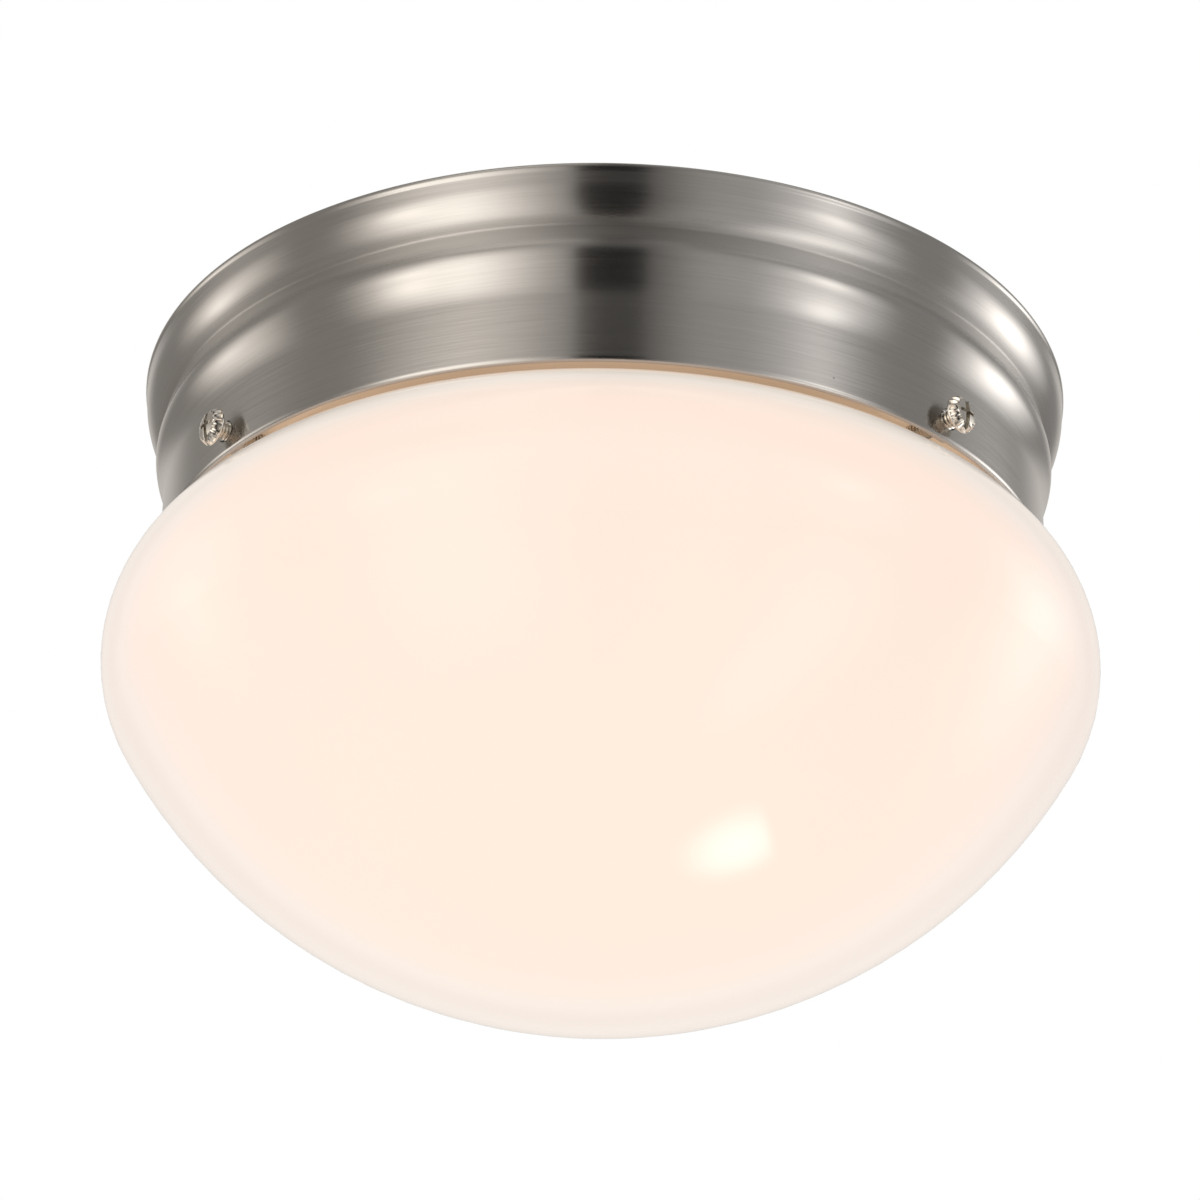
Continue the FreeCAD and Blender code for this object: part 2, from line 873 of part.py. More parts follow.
def make_contact(side, number):
    # A bent spring tongue: a foot on the holder's floor and a raised pad under the tip.
    metal = size("contact_sheet")
    foot = size("contact_foot")
    reach = size("contact_reach")
    floor = -size("chamber_floor")
    top = -size("seat_gap")
    corners = [
        (-foot, floor, None),
        (foot - metal * 3, floor, None),
        (reach + metal * 2, top - metal, None),
        (reach + metal, top, None),
        (-reach, top, None),
        (-reach, top - metal, None),
        (reach + metal * 0.5, top - metal, None),
        (foot - metal * 4.5, floor + metal, None),
        (-foot, floor + metal, None),
    ]
    contact = folded(f"centre_contact_{number}", corners, size("contact_width"))
    keep(place_lamp_item(contact, side), f"centre_contact_{number}")


def make_bracket(side, number):
    metal = size("bracket_sheet")
    back = -size("holder_back")
    high = -(size("lamp_drop") - size("recess_depth") - size("pan_wall"))
    outer = metal * 2
    corners = [
        (size("bracket_tail"), back, None),
        (high + outer, back, -metal),
        (high + metal, back + metal, None),
        (high + metal, back + size("bracket_foot"), None),
        (high, back + size("bracket_foot"), None),
        (high, back - metal + outer, outer),
        (high + outer, back - metal, None),
        (size("bracket_tail"), back - metal, None),
    ]
    blank = folded(f"bracket_blank_{number}", corners, size("bracket_width"))
    screw_hole = size("holder_screw_shaft") + size("thread_gap")
    tools = []
    window = cylinder(f"bracket_window_{number}", size("bracket_window"), metal * 3)
    tools.append(place(window, 0, 0, back - metal * 2))
    for step in (-1, 1):
        hole = cylinder(f"bracket_hole_{number}_{step + 2}", screw_hole, metal * 3)
        tools.append(place(hole, size("holder_screw_place") * step, 0, back - metal * 2))
        rivet = cylinder(f"bracket_rivet_hole_{number}_{step + 2}", size("rivet_radius"), metal * 3)
        spot = (high - metal, size("rivet_spread") * step, -size("rivet_place"))
        tools.append(place(rivet, *spot, turn_about((0, 1, 0), 90)))
    bracket = cut(f"lamp_bracket_{number}", blank, tools)
    keep(place_lamp_item(bracket, side), f"lamp_bracket_{number}")


def make_holder_screws(side, number):
    shaft = size("holder_screw_shaft") - size("thread_gap")
    head = size("holder_screw_head")
    height = size("holder_screw_height")
    face = -size("holder_back") - size("bracket_sheet")
    deep = face + size("bracket_sheet") + size("holder_screw_depth") - size("seat_gap")
    corners = [
        (0, face - height, None),
        (head - height * 0.5, face - height, height * 0.5),
        (head, face - height * 0.5, None),
        (head, face, None),
        (shaft, face, None),
        (shaft, deep, None),
        (0, deep, None),
    ]
    pair = []
    for step in (-1, 1):
        screw = turned(f"holder_screw_{number}_{step + 2}", corners)
        pair.append(place(screw, size("holder_screw_place") * step, 0, 0))
    screws = group(f"holder_screws_{number}", pair)
    keep(place_lamp_item(screws, side), f"holder_screws_{number}")


def make_rivets():
    shaft = size("rivet_radius") - size("thread_gap")
    head = size("rivet_head")
    height = size("rivet_height")
    high = -size("recess_depth")
    low = high - size("pan_wall") - size("bracket_sheet")
    corners = [
        (0, low - height, None),
        (head - height * 0.5, low - height, height * 0.5),
        (head, low - height * 0.5, None),
        (head, low, None),
        (shaft, low, None),
        (shaft, high, None),
        (head, high, None),
        (head - height * 0.5, high + height, None),
        (0, high + height, None),
    ]
    rivets = []
    for number, (x, y) in enumerate(rivet_places(), 1):
        rivets.append(place(turned(f"rivet_{number}", corners), x, y, 0))
    return keep(group("bracket_rivets", rivets), "bracket_rivets")


def build():
    fill_sheet()
    work_out_pan()
    work_out_glass()
    work_out_lamps()
    make_pan()
    make_insulation()
    make_bushing()
    make_earth_screw()
    make_rivets()
    for number, side in enumerate((-1, 1), 1):
        make_bracket(side, number)
        make_holder_screws(side, number)
        make_holder(side, number)
        make_shell(side, number)
        make_contact(side, number)
        make_lamp(side, number)
    make_glass()
    make_shade_screws()
    make_shade_nuts()
    document.recompute()


def check():
    for item in document.Objects:
        if "Invalid" in item.State or "Error" in item.State:
            raise RuntimeError(f"{item.Name} did not build: {item.State}")
    for item in pieces:
        if item.Shape.isNull() or not item.Shape.isValid():
            raise RuntimeError(f"{item.Label} has no valid shape")


def write():
    os.makedirs("parts", exist_ok=True)
    for item in pieces:
        item.Shape.exportStep(f"parts/{item.Label}.step")
        print(f"{item.Label}: {len(item.Shape.Solids)} solid, {item.Shape.Volume:.0f} mm3")


build()
check()
write()
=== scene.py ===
import math
import bmesh
import bpy
from mathutils import Matrix, Vector, noise


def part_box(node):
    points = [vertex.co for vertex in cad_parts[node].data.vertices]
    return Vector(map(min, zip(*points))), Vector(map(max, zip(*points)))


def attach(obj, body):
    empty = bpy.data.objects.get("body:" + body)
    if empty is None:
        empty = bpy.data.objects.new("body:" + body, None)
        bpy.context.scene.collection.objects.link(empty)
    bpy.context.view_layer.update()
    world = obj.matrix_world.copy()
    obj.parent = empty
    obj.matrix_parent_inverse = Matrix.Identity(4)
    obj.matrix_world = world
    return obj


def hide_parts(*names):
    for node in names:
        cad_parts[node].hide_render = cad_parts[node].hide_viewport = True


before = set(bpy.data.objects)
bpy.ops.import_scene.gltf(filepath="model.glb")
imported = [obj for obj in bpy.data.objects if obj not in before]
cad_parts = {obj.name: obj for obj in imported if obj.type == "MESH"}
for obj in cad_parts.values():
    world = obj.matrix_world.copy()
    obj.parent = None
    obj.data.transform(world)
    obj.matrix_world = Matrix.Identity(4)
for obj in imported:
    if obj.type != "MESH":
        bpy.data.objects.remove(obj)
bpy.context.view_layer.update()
mm = 0.001
# longer than any head is wide, so that a cut passes right across it
acrossHead = 20 * mm
# a plain core inside a thread is a hair thinner than the thread's root
coreShare = 0.99
# vertices closer than this are one
sameSpot = 1e-6
# noise textures mostly stay between these
noiseSpan = (0.3, 0.7)
black = (0.0, 0.0, 0.0)

# where the photo was taken from, and the studio that the metal and the glass mirror;
# azimuths are degrees from the camera towards the right of the picture
studio = {
    "azimuth": 3.7,
    "elevation": 27.53,
    "roll": 0.9,
    "distance": 0.97325,
    "aim": (-0.0004, 0.0, -0.0521),
    "focalPixels": 3972.0,
    "framePixels": 1200,
    "sensorWidth": 36.0,
    "floorHeight": -1.9,
    "floorSize": 14.0,
    "floorTones": ((0.83, 0.83, 0.825), (0.87, 0.87, 0.865)),
    "floorGlow": (0.46, 0.46, 0.455),
    "floorClouds": 3.0,        # in each metre
    "backdrop": (1.0, 1.0, 1.0),
    "ambientTint": (0.97, 0.985, 1.0),
    "ambient": 0.30,
    # lamps that only light dull surfaces: azimuth, elevation, distance, size, radiance
    "softBoxes": {
        "leftLamp": (-42, 2, 1.7, 0.9, 1.1),
        "rightLamp": (60, 5, 1.7, 0.8, 0.8),
    },
    # bright screens: azimuth, elevation, half width, half height, soft edges, radiance
    "screens": {
        "frontLeft": (-41, -13, 15, 38, 13, 16, 1.3),
        "leftBox": (-48, -3, 5, 6, 6, 9, 1.5),
        "leftWing": (-26, -12, 14, 43, 12, 16, 0.62),
        "lowLeft": (-53, -36, 12, 16, 12, 12, 0.4),
        "topLeft": (-42, 72, 24, 24, 20, 8, 0.65),
        "farLeft": (-99, 0, 13, 18, 11, 14, 1.08),
        "farLeftBox": (-103, -8, 5, 7, 6, 9, 1.2),
        "frontRight": (54, 6, 10, 22, 12, 14, 1.25),
        "rightBox": (54, 15, 5, 6, 6, 8, 1.5),
        "lowRight": (60, -46, 12, 20, 11, 12, 1.75),
        "topRight": (70, 72, 20, 24, 16, 8, 0.45),
        "rightWing": (34, -8, 14, 46, 14, 14, 0.22),
        "farRight": (109, -2, 14, 21, 11, 14, 1.65),
        "farRightBox": (109, -1, 7, 10, 7, 10, 1.4),
    },
    "roomGrey": 0.36,
    # a darker part of the room, right of the opening: azimuths where it fades in and out
    "rightShade": {"depth": 0.20, "fadeIn": (-12, 0), "fadeOut": (24, 6)},
    # the dark opening that the camera looks through
    "gap": {
        "azimuth": 0.9, "halfWidth": 8.3, "soft": 1.4, "top": 30, "topSoft": 5, "grey": 0.03,
    },
    # a hot lamp low on the right, cut off by a straight edge; its edge is the sine of an angle
    "spot": {
        "azimuth": 131, "elevation": -60.5, "radius": 11.5, "radiance": 8.8,
        "falloff": 2.0, "edge": -0.086, "edgeSoft": 0.006,
    },
    # the wall behind the part, faded in between two cosines
    "behind": (0.77, 0.735, 0.695),
    "behindFade": (0.76, 0.93),
    # the left of the room is warmer than the right
    "tints": ((1.0, 0.96, 0.905), (1.0, 0.988, 0.972)),
    "tintFade": (-30, 30),
}


# small helpers for meshes

def drawTo(bm, tip, x, z):
    # extends an outline in the XZ plane by one straight edge
    new = bmesh.ops.extrude_vert_indiv(bm, verts=[tip])["verts"][0]
    new.co = (x, 0, z)
    return new


def bendTo(bm, tip, x, z, turn, steps):
    # extends an outline round a centre; a positive turn goes from X towards Z
    made = bmesh.ops.spin(
        bm, geom=[tip], cent=(x, 0, z), axis=(0, 1, 0), angle=-math.radians(turn), steps=steps)
    return next(item for item in made["geom_last"] if isinstance(item, bmesh.types.BMVert))


def runTo(bm, tip, x, z, hold):
    # a straight run, with a point close to each end so that the bends beside it shade cleanly
    along = Vector((x, 0, z)) - tip.co
    if along.length > hold * 4:
        near = tip.co + along.normalized() * hold
        far = Vector((x, 0, z)) - along.normalized() * hold
        tip = drawTo(bm, tip, near.x, near.z)
        tip = drawTo(bm, tip, far.x, far.z)
    return drawTo(bm, tip, x, z) if along.length > sameSpot else tip


def outlineFrom(points, closed=False):
    bm = bmesh.new()
    (x, z), *rest = points
    first = tip = bm.verts.new((x, 0, z))
    for x, z in rest:
        tip = drawTo(bm, tip, x, z)
    if closed:
        bm.edges.new((tip, first))
    return bm


def spinAround(bm, steps):
    # turns the whole outline round Z and closes the poles
    bmesh.ops.spin(
        bm, geom=bm.verts[:] + bm.edges[:], cent=(0, 0, 0), axis=(0, 0, 1),
        angle=2 * math.pi, steps=steps, use_merge=True)
    bmesh.ops.remove_doubles(bm, verts=bm.verts[:], dist=sameSpot)
    bmesh.ops.dissolve_degenerate(bm, edges=bm.edges[:], dist=sameSpot / 10)
    bmesh.ops.recalc_face_normals(bm, faces=bm.faces[:])


def bevel(bm, parts, width, segments, affect="EDGES"):
    bmesh.ops.bevel(
        bm, geom=parts, offset=width, offset_type="OFFSET", segments=segments,
        profile=0.5, affect=affect, material=-1)


def heldObject(bm, name):
    mesh = bpy.data.meshes.new(name)
    bm.to_mesh(mesh)
    bm.free()
    item = bpy.data.objects.new(name, mesh)
    bpy.context.scene.collection.objects.link(item)
    return item


def carve(bm, cutters):
    # the mesh less its cutters, as a new bmesh
    base = heldObject(bm, "base")
    tools = [heldObject(cutter, "cutter") for cutter in cutters]
    for tool in tools:
        step = base.modifiers.new("cut", "BOOLEAN")
        step.operation = "DIFFERENCE"
        step.solver = "EXACT"
        step.object = tool
    bpy.context.view_layer.update()
    ready = base.evaluated_get(bpy.context.evaluated_depsgraph_get())
    mesh = bpy.data.meshes.new_from_object(ready)
    result = bmesh.new()
    result.from_mesh(mesh)
    for item in [base, *tools]:
        bpy.data.meshes.remove(item.data)
    bpy.data.meshes.remove(mesh)
    return result


def moveBy(bm, matrix):
    bmesh.ops.transform(bm, matrix=matrix, verts=bm.verts[:])


def makeBox(length, width, height, centre):
    bm = bmesh.new()
    place = Matrix.Translation(centre) @ Matrix.Diagonal((length, width, height, 1))
    bmesh.ops.create_cube(bm, size=1, matrix=place)
    return bm


def makeRod(radius, height, centre, segments=48):
    bm = bmesh.new()
    bmesh.ops.create_cone(
        bm, cap_ends=True, segments=segments, radius1=radius, radius2=radius,
        depth=height, matrix=Matrix.Translation(centre))
    return bm


def makeHexagon(radius, height, centre):
    # create_cone's first corner is on +Y, and the CAD's is on +X
    bm = makeRod(radius, height, centre, 6)
    moveBy(bm, Matrix.Rotation(math.radians(30), 4, "Z"))
    return bm


def addTo(bm, other):
    # puts another bmesh into this one
    mesh = bpy.data.meshes.new("part")
    other.to_mesh(mesh)
    other.free()
    bm.from_mesh(mesh)
    bpy.data.meshes.remove(mesh)


def finishPiece(name, bm, slot, body, node, sharpAngle=32):
    # smooth faces with crisp edges, on its body, in place of its CAD node
    for face in bm.faces:
        face.smooth = True
    for edge in bm.edges:
        edge.smooth = edge.calc_face_angle(math.pi) < math.radians(sharpAngle)
    piece = heldObject(bm, name)
    piece.data.materials.append(finishes[slot])
    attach(piece, body)
    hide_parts(node)
    return piece


def dress(node, slot):
    # a CAD node that keeps its shape gets a finish
    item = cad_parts[node]
    item.data.materials.clear()
    item.data.materials.append(finishes[slot])


# small helpers for materials

class Board:
    # adds nodes to a tree and links them by socket name
    def __init__(self, tree):
        self.tree = tree

    def add(self, kind, inputs=None, **settings):
        node = self.tree.nodes.new("ShaderNode" + kind)
        for key, value in settings.items():
            setattr(node, key, value)
        self.fill(node, inputs or {})
        return node

    def fill(self, node, inputs):
        for key, value in inputs.items():
            socket = node.inputs[key]
            if isinstance(value, bpy.types.NodeSocket):
                self.tree.links.new(value, socket)
            else:
                socket.default_value = (*value, 1.0) if socket.type == "RGBA" else value

    def math(self, operation, *values):
        node = self.add("Math", operation=operation)
        self.fill(node, dict(enumerate(values)))
        return node.outputs[0]

    def times(self, first, second):
        return self.math("MULTIPLY", first, second)

    def mix(self, factor, first, second, blend="MIX"):
        node = self.add("Mix", data_type="RGBA", blend_type=blend)
        self.fill(node, {0: factor, 6: first, 7: second})
        return node.outputs[2]

    def between(self, factor, colours):
        return self.mix(factor, *colours)

    def remap(self, value, low, high, newLow=0.0, newHigh=1.0, **settings):
        inputs = {"Value": value, "From Min": low, "From Max": high}
        node = self.add("MapRange", {**inputs, "To Min": newLow, "To Max": newHigh}, **settings)
        return node.outputs["Result"]

    def spread(self, tone, newLow, newHigh):
        # brings a noise texture's tone between two new values
        return self.remap(tone, *noiseSpan, newLow, newHigh)

    def noise(self, vector, scale, detail=3.0):
        inputs = {"Vector": vector, "Scale": scale, "Detail": detail}
        return self.add("TexNoise", inputs).outputs["Fac"]

    def place(self, group, inputs):
        node = self.add("Group", node_tree=group)
        self.fill(node, inputs)
        return node.outputs

    def bump(self, height, distance):
        return self.add("Bump", {"Height": height, "Distance": distance}).outputs["Normal"]


def newMaterial(name, **values):
    # a Principled material and its object point; values go on the shader's own sockets
    material = bpy.data.materials.new(name)
    material.use_nodes = True
    board = Board(material.node_tree)
    shader = material.node_tree.nodes["Principled BSDF"]
    board.fill(shader, {key.replace("_", " "): value for key, value in values.items()})
    point = board.add("TexCoord").outputs["Object"]
    return material, board, shader, point


def newGroup(name, inputs, outputs):
    tree = bpy.data.node_groups.new(name, "ShaderNodeTree")
    for label, value in inputs.items():
        kind = "NodeSocketVector" if value is None else "NodeSocketFloat"
        socket = tree.interface.new_socket(name=label, in_out="INPUT", socket_type=kind)
        if value is not None:
            socket.default_value = value
    for label in outputs:
        tree.interface.new_socket(name=label, in_out="OUTPUT", socket_type="NodeSocketFloat")
    board = Board(tree)
    source = tree.nodes.new("NodeGroupInput").outputs
    result = tree.nodes.new("NodeGroupOutput")
    return tree, board, source, result


def makeSpunBrush():
    # fine lines that run round the object's axis, as spinning and brushing leave them
    tree, board, source, result = newGroup(
        "spunBrush", {"Vector": None, "Line Width": 0.0003, "Streaks": 5.0}, ["Lines", "Bands"])
    axes = board.add("SeparateXYZ", {0: source["Vector"]}).outputs
    flat = board.add("CombineXYZ", {0: axes[0], 1: axes[1]}).outputs[0]
    radius = board.add("VectorMath", {0: flat}, operation="LENGTH").outputs["Value"]
    wayOut = board.add("VectorMath", {0: flat}, operation="NORMALIZE").outputs[0]
    around = board.add("SeparateXYZ", {0: wayOut}).outputs
    # each output's width in lines, and its detail
    for label, width, detail in (("Lines", 1.0, 4.0), ("Bands", 7.0, 2.0)):
        line = board.times(source["Line Width"], width)
        spread = {axis: board.times(around[axis], source["Streaks"]) for axis in (0, 1)}
        spread[2] = board.math("DIVIDE", axes[2], line)
        point = board.add("CombineXYZ", spread).outputs[0]
        depth = board.math("DIVIDE", radius, line)
        grain = board.add(
            "TexNoise", {"Vector": point, "W": depth, "Scale": 1.0, "Detail": detail},
            noise_dimensions="4D")
        board.fill(result, {label: grain.outputs["Fac"]})
    return tree


def makeSpecks():
    # sparse round pits or grains
    tree, board, source, result = newGroup(
        "specks", {"Vector": None, "Spacing": 0.01, "Size": 0.03, "Share": 0.3}, ["Mask"])
    scale = board.math("DIVIDE", 1.0, source["Spacing"])
    cells = board.add("TexVoronoi", {"Vector": source["Vector"], "Scale": scale})
    pick = board.add("SeparateColor", {0: cells.outputs["Color"]}).outputs[0]
    near = board.math("LESS_THAN", cells.outputs["Distance"], source["Size"])
    some = board.math("LESS_THAN", pick, source["Share"])
    board.fill(result, {"Mask": board.times(near, some)})
    return tree


def makeMottle():
    # cloudy tone with a finer grain over it
    tree, board, source, result = newGroup(
        "mottle", {"Vector": None, "Cloud": 0.02, "Grain": 0.0006}, ["Tone", "Grain"])
    for label, size, detail in (("Tone", "Cloud", 4.0), ("Grain", "Grain", 2.0)):
        scale = board.math("DIVIDE", 1.0, source[size])
        board.fill(result, {label: board.noise(source["Vector"], scale, detail)})
    return tree


spunBrush = makeSpunBrush()
specks = makeSpecks()
mottle = makeMottle()


def cloudsAt(board, point, cloud, grain=0.0006):
    return board.place(mottle, {"Vector": point, "Cloud": cloud, "Grain": grain})


brushedNickel = {
    "colours": ((0.46, 0.438, 0.414), (0.51, 0.488, 0.465)),
    "lineWidth": 0.00022,
    "streaks": 6.0,
    "cloud": (0.40, 0.375, 0.345),
    "cloudSize": 0.05,
    "cloudShare": 0.25,
    "pit": (0.33, 0.31, 0.285),
    "pitSpacing": 0.014,
    "pitSize": 0.02,
    "pitShare": 0.12,
    "roughSpan": (0.25, 0.75),
    "rough": (0.19, 0.25),
    # the brush reaches badly into the cove: its height, how far from it none and all of
    # the added roughness is, and how much that is
    "coveHeight": -15.3 * mm,
    "coveReach": (3.4 * mm, 1.4 * mm),
    "coveRough": 0.24,
    "bandShare": 0.5,
    "relief": 0.0000025,
}


def makeBrushedNickel():
    look = brushedNickel
    material, board, shader, point = newMaterial(
        "brushedNickel", Metallic=1.0, Anisotropic=0.9, Anisotropic_Rotation=0.25)
    brush = board.place(
        spunBrush, {"Vector": point, "Line Width": look["lineWidth"], "Streaks": look["streaks"]})
    clouds = cloudsAt(board, point, look["cloudSize"])
    colour = board.between(board.spread(brush["Lines"], 0.0, 1.0), look["colours"])
    cloud = board.spread(clouds["Tone"], 0.0, look["cloudShare"])
    colour = board.mix(cloud, colour, look["cloud"])
    pits = board.place(specks, {
        "Vector": point, "Spacing": look["pitSpacing"], "Size": look["pitSize"],
        "Share": look["pitShare"]})
    colour = board.mix(pits["Mask"], colour, look["pit"])
    rough = board.remap(brush["Lines"], *look["roughSpan"], *look["rough"])
    height = board.add("SeparateXYZ", {0: point}).outputs[2]
    away = board.math("ABSOLUTE", board.math("SUBTRACT", height, look["coveHeight"]))
    cove = board.remap(away, *look["coveReach"], 0.0, look["coveRough"])
    rough = board.math("ADD", rough, cove)
    # the lines run at right angles to the axis and to the way out from it
    along = board.add("VectorMath", {0: (0.0, 0.0, 1.0), 1: point}, operation="CROSS_PRODUCT")
    tangent = board.add("VectorMath", {0: along.outputs[0]}, operation="NORMALIZE").outputs[0]
    bands = board.times(brush["Bands"], look["bandShare"])
    normal = board.bump(board.math("ADD", brush["Lines"], bands), look["relief"])
    board.fill(shader, {
        "Base Color": colour, "Roughness": rough, "Normal": normal, "Tangent": tangent})
    return material


opalGlass = {
    "colours": ((0.74, 0.70, 0.66), (0.78, 0.745, 0.705)),
    # painted light: from none to all of the bowl's glow, which stands for the lamps inside and
    # which they reach better in the bowl than at the neck
    "bowlHeights": (-48.0 * mm, -78.0 * mm),
    "bowlGlow": ((0.62, 0.48, 0.38), (0.77, 0.564, 0.466)),
    # painted shade: the pan shades the neck, so its glow and its base colour are darker
    "neckHeights": (-50.8 * mm, -45.2 * mm),
    "neckShadedGlow": (0.27, 0.19, 0.125),
    "neckShadedBody": (0.60, 0.51, 0.42),
    # painted light: the glow grows lighter towards the bottom between these heights
    "lowHeights": (-80.0 * mm, -157.0 * mm),
    "lowShare": 0.48,
    "lowGlow": (0.95, 0.725, 0.585),
    "cloudSize": 0.07,
    "cloudShare": 0.12,
    "cloudGlow": (0.82, 0.635, 0.53),
    # towards the outline the glow turns whiter, and then gives way to what the glass mirrors;
    # each pair is a share of mirrored light
    "index": 1.5,
    "paleSpan": (0.05, 0.17),
    "paleTint": (0.875, 1.012, 1.105),
    "fadeSpan": (0.18, 1.0),
    "relief": 0.0003,
}


def makeOpalGlass():
    look = opalGlass
    material, board, shader, point = newMaterial(
        "opalGlass", Roughness=0.09, IOR=look["index"], Specular_IOR_Level=0.24,
        Emission_Strength=1.0)
    clouds = cloudsAt(board, point, look["cloudSize"])
    colour = board.between(clouds["Tone"], look["colours"])
    height = board.add("SeparateXYZ", {0: point}).outputs[2]
    # painted light: the glass's own emission stands in for the lamps' light shining through it,
    # fuller in the bowl than at the neck
    reach = board.remap(height, *look["bowlHeights"])
    glow = board.between(reach, look["bowlGlow"])
    # painted shade: the pan's shadow darkens the neck's glow and its base colour
    neck = board.remap(height, *look["neckHeights"])
    glow = board.mix(neck, glow, look["neckShadedGlow"])
    colour = board.mix(neck, colour, look["neckShadedBody"])
    # painted light: the glow grows lighter towards the bottom
    low = board.remap(height, *look["lowHeights"], 0.0, look["lowShare"])
    glow = board.mix(low, glow, look["lowGlow"])
    cloud = board.spread(clouds["Tone"], 0.0, look["cloudShare"])
    glow = board.mix(cloud, glow, look["cloudGlow"])
    mirror = board.add("Fresnel", {"IOR": look["index"]}).outputs[0]
    pale = board.mix(1.0, glow, look["paleTint"], "MULTIPLY")
    glow = board.mix(board.remap(mirror, *look["paleSpan"]), glow, pale)
    glow = board.mix(board.remap(mirror, *look["fadeSpan"]), glow, black)
    normal = board.bump(clouds["Tone"], look["relief"])
    board.fill(shader, {"Base Color": colour, "Emission Color": glow, "Normal": normal})
    return material


def makeMetal(name, low, high, roughLow, roughHigh, cloud=0.006, grain=0.0004, relief=0.000008):
    # an even metal: its colour follows the clouds, and its roughness the grain
    material, board, shader, point = newMaterial(name, Metallic=1.0)
    clouds = cloudsAt(board, point, cloud, grain)
    colour = board.mix(clouds["Tone"], low, high)
    rough = board.spread(clouds["Grain"], roughLow, roughHigh)
    board.fill(shader, {"Base Color": colour, "Roughness": rough})
    if relief:
        board.fill(shader, {"Normal": board.bump(clouds["Grain"], relief)})
    return material


def makePlastic(name, low, high, rough, glow=None, cloud=0.012, grain=0.0005, relief=0.000012):
    material, board, shader, point = newMaterial(name, IOR=1.48)
    clouds = cloudsAt(board, point, cloud, grain)
    colour = board.mix(clouds["Tone"], low, high)
    rough = board.spread(clouds["Grain"], rough - 0.05, rough + 0.05)
    normal = board.bump(clouds["Grain"], relief)
    board.fill(shader, {"Base Color": colour, "Roughness": rough, "Normal": normal})
    if glow:
        lit = board.mix(clouds["Tone"], glow, high)
        board.fill(shader, {"Emission Strength": 1.0, "Emission Color": lit})
    return material


zincSteel = {
    "colours": ((0.50, 0.51, 0.52), (0.66, 0.67, 0.68)),
    "flakeScale": 260.0,
    "clouds": (0.008, 0.0004),
    "rough": (0.3, 0.48),
    "relief": 0.00001,
}


def makeZincSteel():
    # the plating's crystals show as flakes of slightly different greys
    look = zincSteel
    material, board, shader, point = newMaterial("zincSteel", Metallic=1.0)
    clouds = cloudsAt(board, point, *look["clouds"])
    cells = board.add("TexVoronoi", {"Vector": point, "Scale": look["flakeScale"]})
    flake = board.add("SeparateColor", {0: cells.outputs["Color"]}).outputs[0]
    colour = board.between(flake, look["colours"])
    rough = board.spread(clouds["Tone"], *look["rough"])
    normal = board.bump(clouds["Grain"], look["relief"])
    board.fill(shader, {"Base Color": colour, "Roughness": rough, "Normal": normal})
    return material


porcelain = {
    "colours": ((0.78, 0.765, 0.72), (0.85, 0.84, 0.80)),
    "clouds": (0.01, 0.0012),
    "dot": (0.36, 0.31, 0.25),
    "dotSpacing": 0.004,
    "dotSize": 0.06,
    "dotShare": 0.12,
    "rough": (0.16, 0.26),
    "coat": (0.5, 0.8),
    "relief": 0.00004,
}


def makePorcelain():
    look = porcelain
    material, board, shader, point = newMaterial("porcelain", IOR=1.52, Coat_Roughness=0.06)
    clouds = cloudsAt(board, point, *look["clouds"])
    colour = board.between(clouds["Tone"], look["colours"])
    dots = board.place(specks, {
        "Vector": point, "Spacing": look["dotSpacing"], "Size": look["dotSize"],
        "Share": look["dotShare"]})
    colour = board.mix(dots["Mask"], colour, look["dot"])
    rough = board.spread(clouds["Grain"], *look["rough"])
    coat = board.spread(clouds["Tone"], *look["coat"])
    normal = board.bump(clouds["Grain"], look["relief"])
    board.fill(shader, {
        "Base Color": colour, "Roughness": rough, "Coat Weight": coat, "Normal": normal})
    return material


glassFibre = {
    # the strands' layers: turn in radians, and scale along each axis
    "layers": (
        (0.5, (140.0, 900.0, 500.0)), (-0.9, (160.0, 1100.0, 600.0)), (1.9, (120.0, 800.0, 500.0)),
    ),
    "warpScale": 60.0,
    "warp": 0.012,
    "colours": ((0.70, 0.58, 0.30), (0.93, 0.87, 0.64)),
    "colourSpan": (0.45, 0.75),
    "cloud": (0.88, 0.83, 0.68),
    "cloudSpan": (0.35, 0.65),
    "cloudShare": 0.35,
    "clouds": (0.014, 0.0008),
    "roughSpan": (0.4, 0.8),
    "rough": (0.7, 0.95),
    "cloudHeight": 0.6,
    "relief": 0.0007,
}


def makeGlassFibre():
    # matted strands: noises stretched different ways over a cloudy ground
    look = glassFibre
    material, board, shader, point = newMaterial(
        "glassFibre", Sheen_Weight=0.3, Sheen_Roughness=0.5)
    warp = board.add("TexNoise", {"Vector": point, "Scale": look["warpScale"]}).outputs["Color"]
    bent = board.mix(look["warp"], point, warp, "ADD")
    mat = None
    for turn, scale in look["layers"]:
        laid = board.add("Mapping", {"Vector": bent, "Rotation": (0.0, 0.0, turn), "Scale": scale})
        strands = board.noise(laid.outputs[0], 1.0)
        mat = strands if mat is None else board.math("MAXIMUM", mat, strands)
    clouds = cloudsAt(board, point, *look["clouds"])
    share = board.remap(mat, *look["colourSpan"])
    colour = board.between(share, look["colours"])
    cloud = board.remap(clouds["Tone"], *look["cloudSpan"], 0.0, look["cloudShare"])
    colour = board.mix(cloud, colour, look["cloud"])
    rough = board.remap(mat, *look["roughSpan"], *look["rough"])
    lift = board.times(clouds["Tone"], look["cloudHeight"])
    normal = board.bump(board.math("ADD", mat, lift), look["relief"])
    board.fill(shader, {"Base Color": colour, "Roughness": rough, "Normal": normal})
    return material


